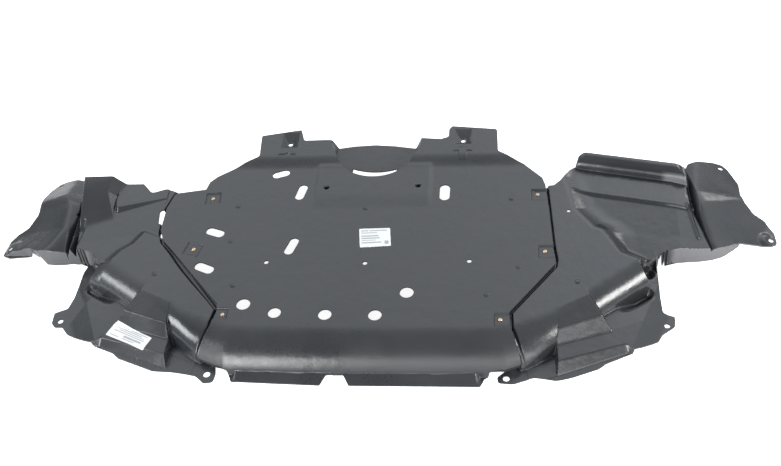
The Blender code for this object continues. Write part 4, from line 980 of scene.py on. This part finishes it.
class Graph:
    """The nodes of a material or of the world, and short ways to add to them."""

    def __init__(self, owner):
        owner.use_nodes = True
        self.nodes, self.link = owner.node_tree.nodes, owner.node_tree.links.new

    def put(self, value, socket):
        """Gives a socket a number, a colour or another node's output."""
        if isinstance(value, bpy.types.NodeSocket):
            self.link(value, socket)
        else:
            socket.default_value = (*value, 1.0) if isinstance(value, tuple) else value

    def add(self, kind, inputs=None):
        """A new node with values for some of its inputs."""
        node = self.nodes.new("ShaderNode" + kind)
        for key, value in (inputs or {}).items():
            self.put(value, node.inputs[key])
        return node

    def noise(self, where, scale, detail, roughness=0.55):
        """A noise texture in metres."""
        values = {"Vector": where, "Scale": scale, "Detail": detail, "Roughness": roughness}
        return self.add("TexNoise", values).outputs["Fac"]

    def ramp(self, value, low, high, out_low=0.0, out_high=1.0):
        """A value taken smoothly from one range to another."""
        node = self.add("MapRange", {"Value": value, "From Min": low, "From Max": high,
                                     "To Min": out_low, "To Max": out_high})
        node.interpolation_type = "SMOOTHSTEP"
        return node.outputs["Result"]

    def result(self, operation, a, b):
        """What an operation gives for two values, each an output or a number."""
        node = self.add("Math", {0: a, 1: b})
        node.operation = operation
        return node.outputs["Value"]

    def blend(self, share, a, b):
        """A colour between two, by a share."""
        node = self.add("Mix")
        node.data_type = "RGBA"
        for name, kind, value in (("A", "RGBA", a), ("B", "RGBA", b), ("Factor", "VALUE", share)):
            self.put(value, [s for s in node.inputs if s.name == name and s.type == kind][0])
        return [s for s in node.outputs if s.type == "RGBA"][0]

    def bump(self, height, strength, distance):
        """A bump node over a height."""
        return self.add("Bump", {"Height": height, "Strength": strength, "Distance": distance})


def new_material(name):
    """A material, its graph, its Principled shader and the place on the object."""
    material = bpy.data.materials.new(name)
    graph = Graph(material)
    return material, graph, graph.nodes["Principled BSDF"], graph.add("TexCoord").outputs["Object"]


PLASTIC = (0.014, 0.0155, 0.0175)
PLASTIC_WORN = (0.021, 0.0225, 0.025)
# Paler colour painted on the upright front walls of the wings: painted light, not a paler plastic.
PLASTIC_FRONT_LIGHT = (0.105, 0.106, 0.111)


def painted_front_light(graph, where):
    """Share of painted light: the upright front walls of the two wings are painted paler, for the light
    they catch, more so towards the right.
    """
    facing = graph.add("SeparateXYZ", {0: graph.add("NewGeometry").outputs["Normal"]})
    x, y, _ = graph.add("SeparateXYZ", {0: where}).outputs
    upright = graph.ramp(facing.outputs["Y"], -0.6, -0.9)
    aside = graph.ramp(graph.result("ABSOLUTE", x, 0.0), 0.556, 0.572)
    wing = graph.result("MULTIPLY", aside, graph.ramp(y, -0.045, -0.035))
    side = graph.ramp(x, -0.5, 0.5, 0.5, 0.95)
    return graph.result("MULTIPLY", graph.result("MULTIPLY", upright, wing), side)


def moulded_plastic(name, roughness):
    """Dark grey polypropylene sheet: fine grain, shallow waves and cloudy gloss, with painted light on the
    upright front walls of the wings.
    """
    material, graph, shader, where = new_material(name)
    cloud = graph.noise(where, 9.0, 2.0)
    mottle = graph.noise(where, 160.0, 3.0)
    colour = graph.blend(graph.ramp(cloud, 0.2, 0.8), PLASTIC, PLASTIC_WORN)
    gloss = graph.result("ADD", graph.ramp(cloud, 0.3, 0.7, roughness - 0.04, roughness + 0.05),
                         graph.ramp(mottle, 0.3, 0.7, -0.02, 0.03))
    waves = graph.bump(graph.noise(where, 45.0, 2.0, 0.5), 0.5, 0.0012)
    grain = graph.bump(graph.noise(where, 260.0, 2.0, 0.6), 0.10, 0.0004)
    graph.link(waves.outputs["Normal"], grain.inputs["Normal"])
    # The upright front walls of the wings get a paler colour here: painted light.
    graph.link(graph.blend(painted_front_light(graph, where), colour, PLASTIC_FRONT_LIGHT), shader.inputs["Base Color"])
    graph.link(gloss, shader.inputs["Roughness"])
    graph.link(grain.outputs["Normal"], shader.inputs["Normal"])
    return material


def metal(name, colour, roughness, scale):
    """Bare metal with a fine uneven finish."""
    material, graph, shader, where = new_material(name)
    shader.inputs["Metallic"].default_value = 1.0
    spots = graph.noise(where, scale, 3.0)
    dark = tuple(0.7 * c for c in colour)
    graph.link(graph.blend(graph.ramp(spots, 0.35, 0.65), dark, colour), shader.inputs["Base Color"])
    graph.link(graph.ramp(spots, 0.3, 0.7, roughness - 0.08, roughness + 0.08), shader.inputs["Roughness"])
    return material


def printed_paper(name, colour, roughness):
    """Sticker paper, or the ink on it."""
    material, graph, shader, where = new_material(name)
    dark = tuple(0.9 * c for c in colour)
    graph.link(graph.blend(graph.noise(where, 900.0, 3.0), dark, colour), shader.inputs["Base Color"])
    shader.inputs["Roughness"].default_value = roughness
    return material


# Studio

CAMERA = (268.0, -1303.0, 1513.0)
CAMERA_YAW, CAMERA_PITCH, CAMERA_ROLL = 9.19, 46.07, -7.05
FOCAL_PIXELS, IMAGE_WIDTH, SENSOR = 1050.0, 781.0, 36.0
FLOOR_HALF, FLOOR_DROP = 6.0, 0.0005
FLOOR_GLOW = 0.92           # what the floor shows the camera of its own
LAMPS = (                   # name, middle, the point it faces, size, brightness where 1 is white, colour
    ("front_left", (-1.30, -2.35, 0.55), (-0.2, -0.2, 0.03), (1.5, 1.2), 15.0, (1.0, 1.0, 1.0)),
    ("front", (0.75, -2.5, 0.75), (0.0, -0.2, 0.03), (2.2, 1.3), 3.2, (1.0, 1.0, 1.0)),
    ("front_right", (1.75, -1.95, 0.40), (0.35, -0.2, 0.03), (0.6, 0.6), 6.0, (1.0, 1.0, 1.0)),
    ("right_box", (2.3, -0.75, 1.1), (0.3, 0.0, 0.03), (1.1, 0.7), 26.0, (1.0, 0.99, 0.98)),
    ("right_rear_box", (2.0, 2.2, 1.4), (0.5, 0.1, 0.03), (0.6, 0.5), 6.0, (1.0, 1.0, 1.0)),
    ("left_box", (-2.4, -0.7, 1.15), (-0.2, 0.0, 0.03), (1.2, 0.7), 14.0, (0.96, 0.99, 1.0)),
)


def studio_camera():
    """The camera at the photograph's place."""
    yaw, pitch, roll = (math.radians(a) for a in (CAMERA_YAW, CAMERA_PITCH, CAMERA_ROLL))
    ahead = Vector((-math.sin(yaw) * math.cos(pitch), math.cos(yaw) * math.cos(pitch), -math.sin(pitch)))
    level = Vector((math.cos(yaw), math.sin(yaw), 0.0))
    upward = level.cross(ahead)
    right = math.cos(roll) * level + math.sin(roll) * upward
    up = -math.sin(roll) * level + math.cos(roll) * upward
    data = bpy.data.cameras.new("camera")
    data.sensor_fit, data.sensor_width = "HORIZONTAL", SENSOR
    data.lens = FOCAL_PIXELS * SENSOR / IMAGE_WIDTH
    camera = in_scene("camera", data)
    turn = Matrix((right, up, -ahead)).transposed().to_4x4()
    camera.matrix_world = Matrix.Translation(Vector(place(CAMERA))) @ turn
    bpy.context.scene.camera = camera


def softbox(name, middle, aim, size, brightness, colour):
    """A rectangular lamp at a place, facing a point."""
    data = bpy.data.lights.new(name, "AREA")
    data.shape = "RECTANGLE"
    data.size, data.size_y = size
    data.energy = brightness * math.pi * size[0] * size[1]
    data.color = colour
    lamp = in_scene(name, data)
    lamp.location = middle
    lamp.rotation_euler = (Vector(aim) - Vector(middle)).to_track_quat("-Z", "Y").to_euler()


def sky(zenith, rear, front):
    """World light: bright behind the object, dim overhead and on the camera's side; white to the camera."""
    world = bpy.data.worlds.new("studio")
    bpy.context.scene.world = world
    graph = Graph(world)
    x, y, z = graph.add("SeparateXYZ", {0: graph.add("TexCoord").outputs["Generated"]}).outputs
    behind = graph.ramp(y, -0.2, 0.45)
    right = graph.result("MULTIPLY", graph.ramp(x, -0.05, 0.22), behind)
    beside = graph.result("MAXIMUM", graph.result("SUBTRACT", x, 0.25), graph.result("SUBTRACT", -0.42, x))
    beside = graph.result("MULTIPLY", graph.ramp(beside, 0.0, 0.25), graph.ramp(z, 0.35, 0.65, 1.0, 0.45))
    horizon = graph.result("MULTIPLY", graph.ramp(z, 0.25, 0.50, 0.8, 0.0), behind)
    colour = graph.blend(behind, front, rear)
    for share, strength in ((right, 1.35), (beside, 0.22), (horizon, 0.25)):
        colour = graph.blend(share, colour, tuple(strength * c for c in rear))
    background = graph.nodes["Background"]
    graph.link(graph.blend(graph.ramp(z, 0.74, 1.0), colour, zenith), background.inputs["Color"])
    white = graph.add("Background", {"Color": (1.0, 1.0, 1.0)})
    seen = graph.add("LightPath").outputs["Is Camera Ray"]
    pick = graph.add("MixShader", {0: seen, 1: background.outputs[0], 2: white.outputs[0]})
    graph.link(pick.outputs[0], graph.nodes["World Output"].inputs["Surface"])


def white_floor():
    """A white floor that keeps the object's shadow and looks as white as the background."""
    material = bpy.data.materials.new("white_floor")
    graph = Graph(material)
    graph.nodes.remove(graph.nodes["Principled BSDF"])
    diffuse = graph.add("BsdfDiffuse", {"Color": (0.86, 0.86, 0.86)})
    seen = graph.add("LightPath").outputs["Is Camera Ray"]
    glow = graph.add("Emission", {"Strength": graph.result("MULTIPLY", seen, FLOOR_GLOW)})
    both = graph.add("AddShader", {0: diffuse.outputs[0], 1: glow.outputs[0]})
    graph.link(both.outputs[0], graph.nodes["Material Output"].inputs["Surface"])
    mesh = bpy.data.meshes.new("floor")
    corners = [(x * FLOOR_HALF, y * FLOOR_HALF, 0.0) for x, y in ((-1, -1), (1, -1), (1, 1), (-1, 1))]
    mesh.from_pydata(corners, [], [(0, 1, 2, 3)])
    mesh.materials.append(material)
    floor = in_scene("floor", mesh)
    floor.location.z = -FLOOR_DROP


def build():
    """Everything in the picture."""
    panel_finish = {
        "centre_panel": moulded_plastic("centre_plastic", 0.30),
        "right_panel": moulded_plastic("right_plastic", 0.22),
        "left_panel": moulded_plastic("left_plastic", 0.22),
    }
    for node, material in panel_finish.items():
        panel_piece(node, material)
    fasteners(metal("rivet_brass", (0.72, 0.55, 0.38), 0.38, 900.0),
              metal("washer_steel", (0.55, 0.55, 0.57), 0.42, 700.0))
    stickers(printed_paper("label_paper", (0.61, 0.63, 0.63), 0.45),
             printed_paper("label_ink", (0.30, 0.31, 0.32), 0.5))
    studio_camera()
    white_floor()
    sky((0.56, 0.57, 0.60), (1.88, 1.96, 2.06), (0.26, 0.27, 0.29))
    for lamp in LAMPS:
        softbox(*lamp)


build()
bpy.context.scene.view_settings.view_transform = "Standard"
bpy.context.view_layer.update()
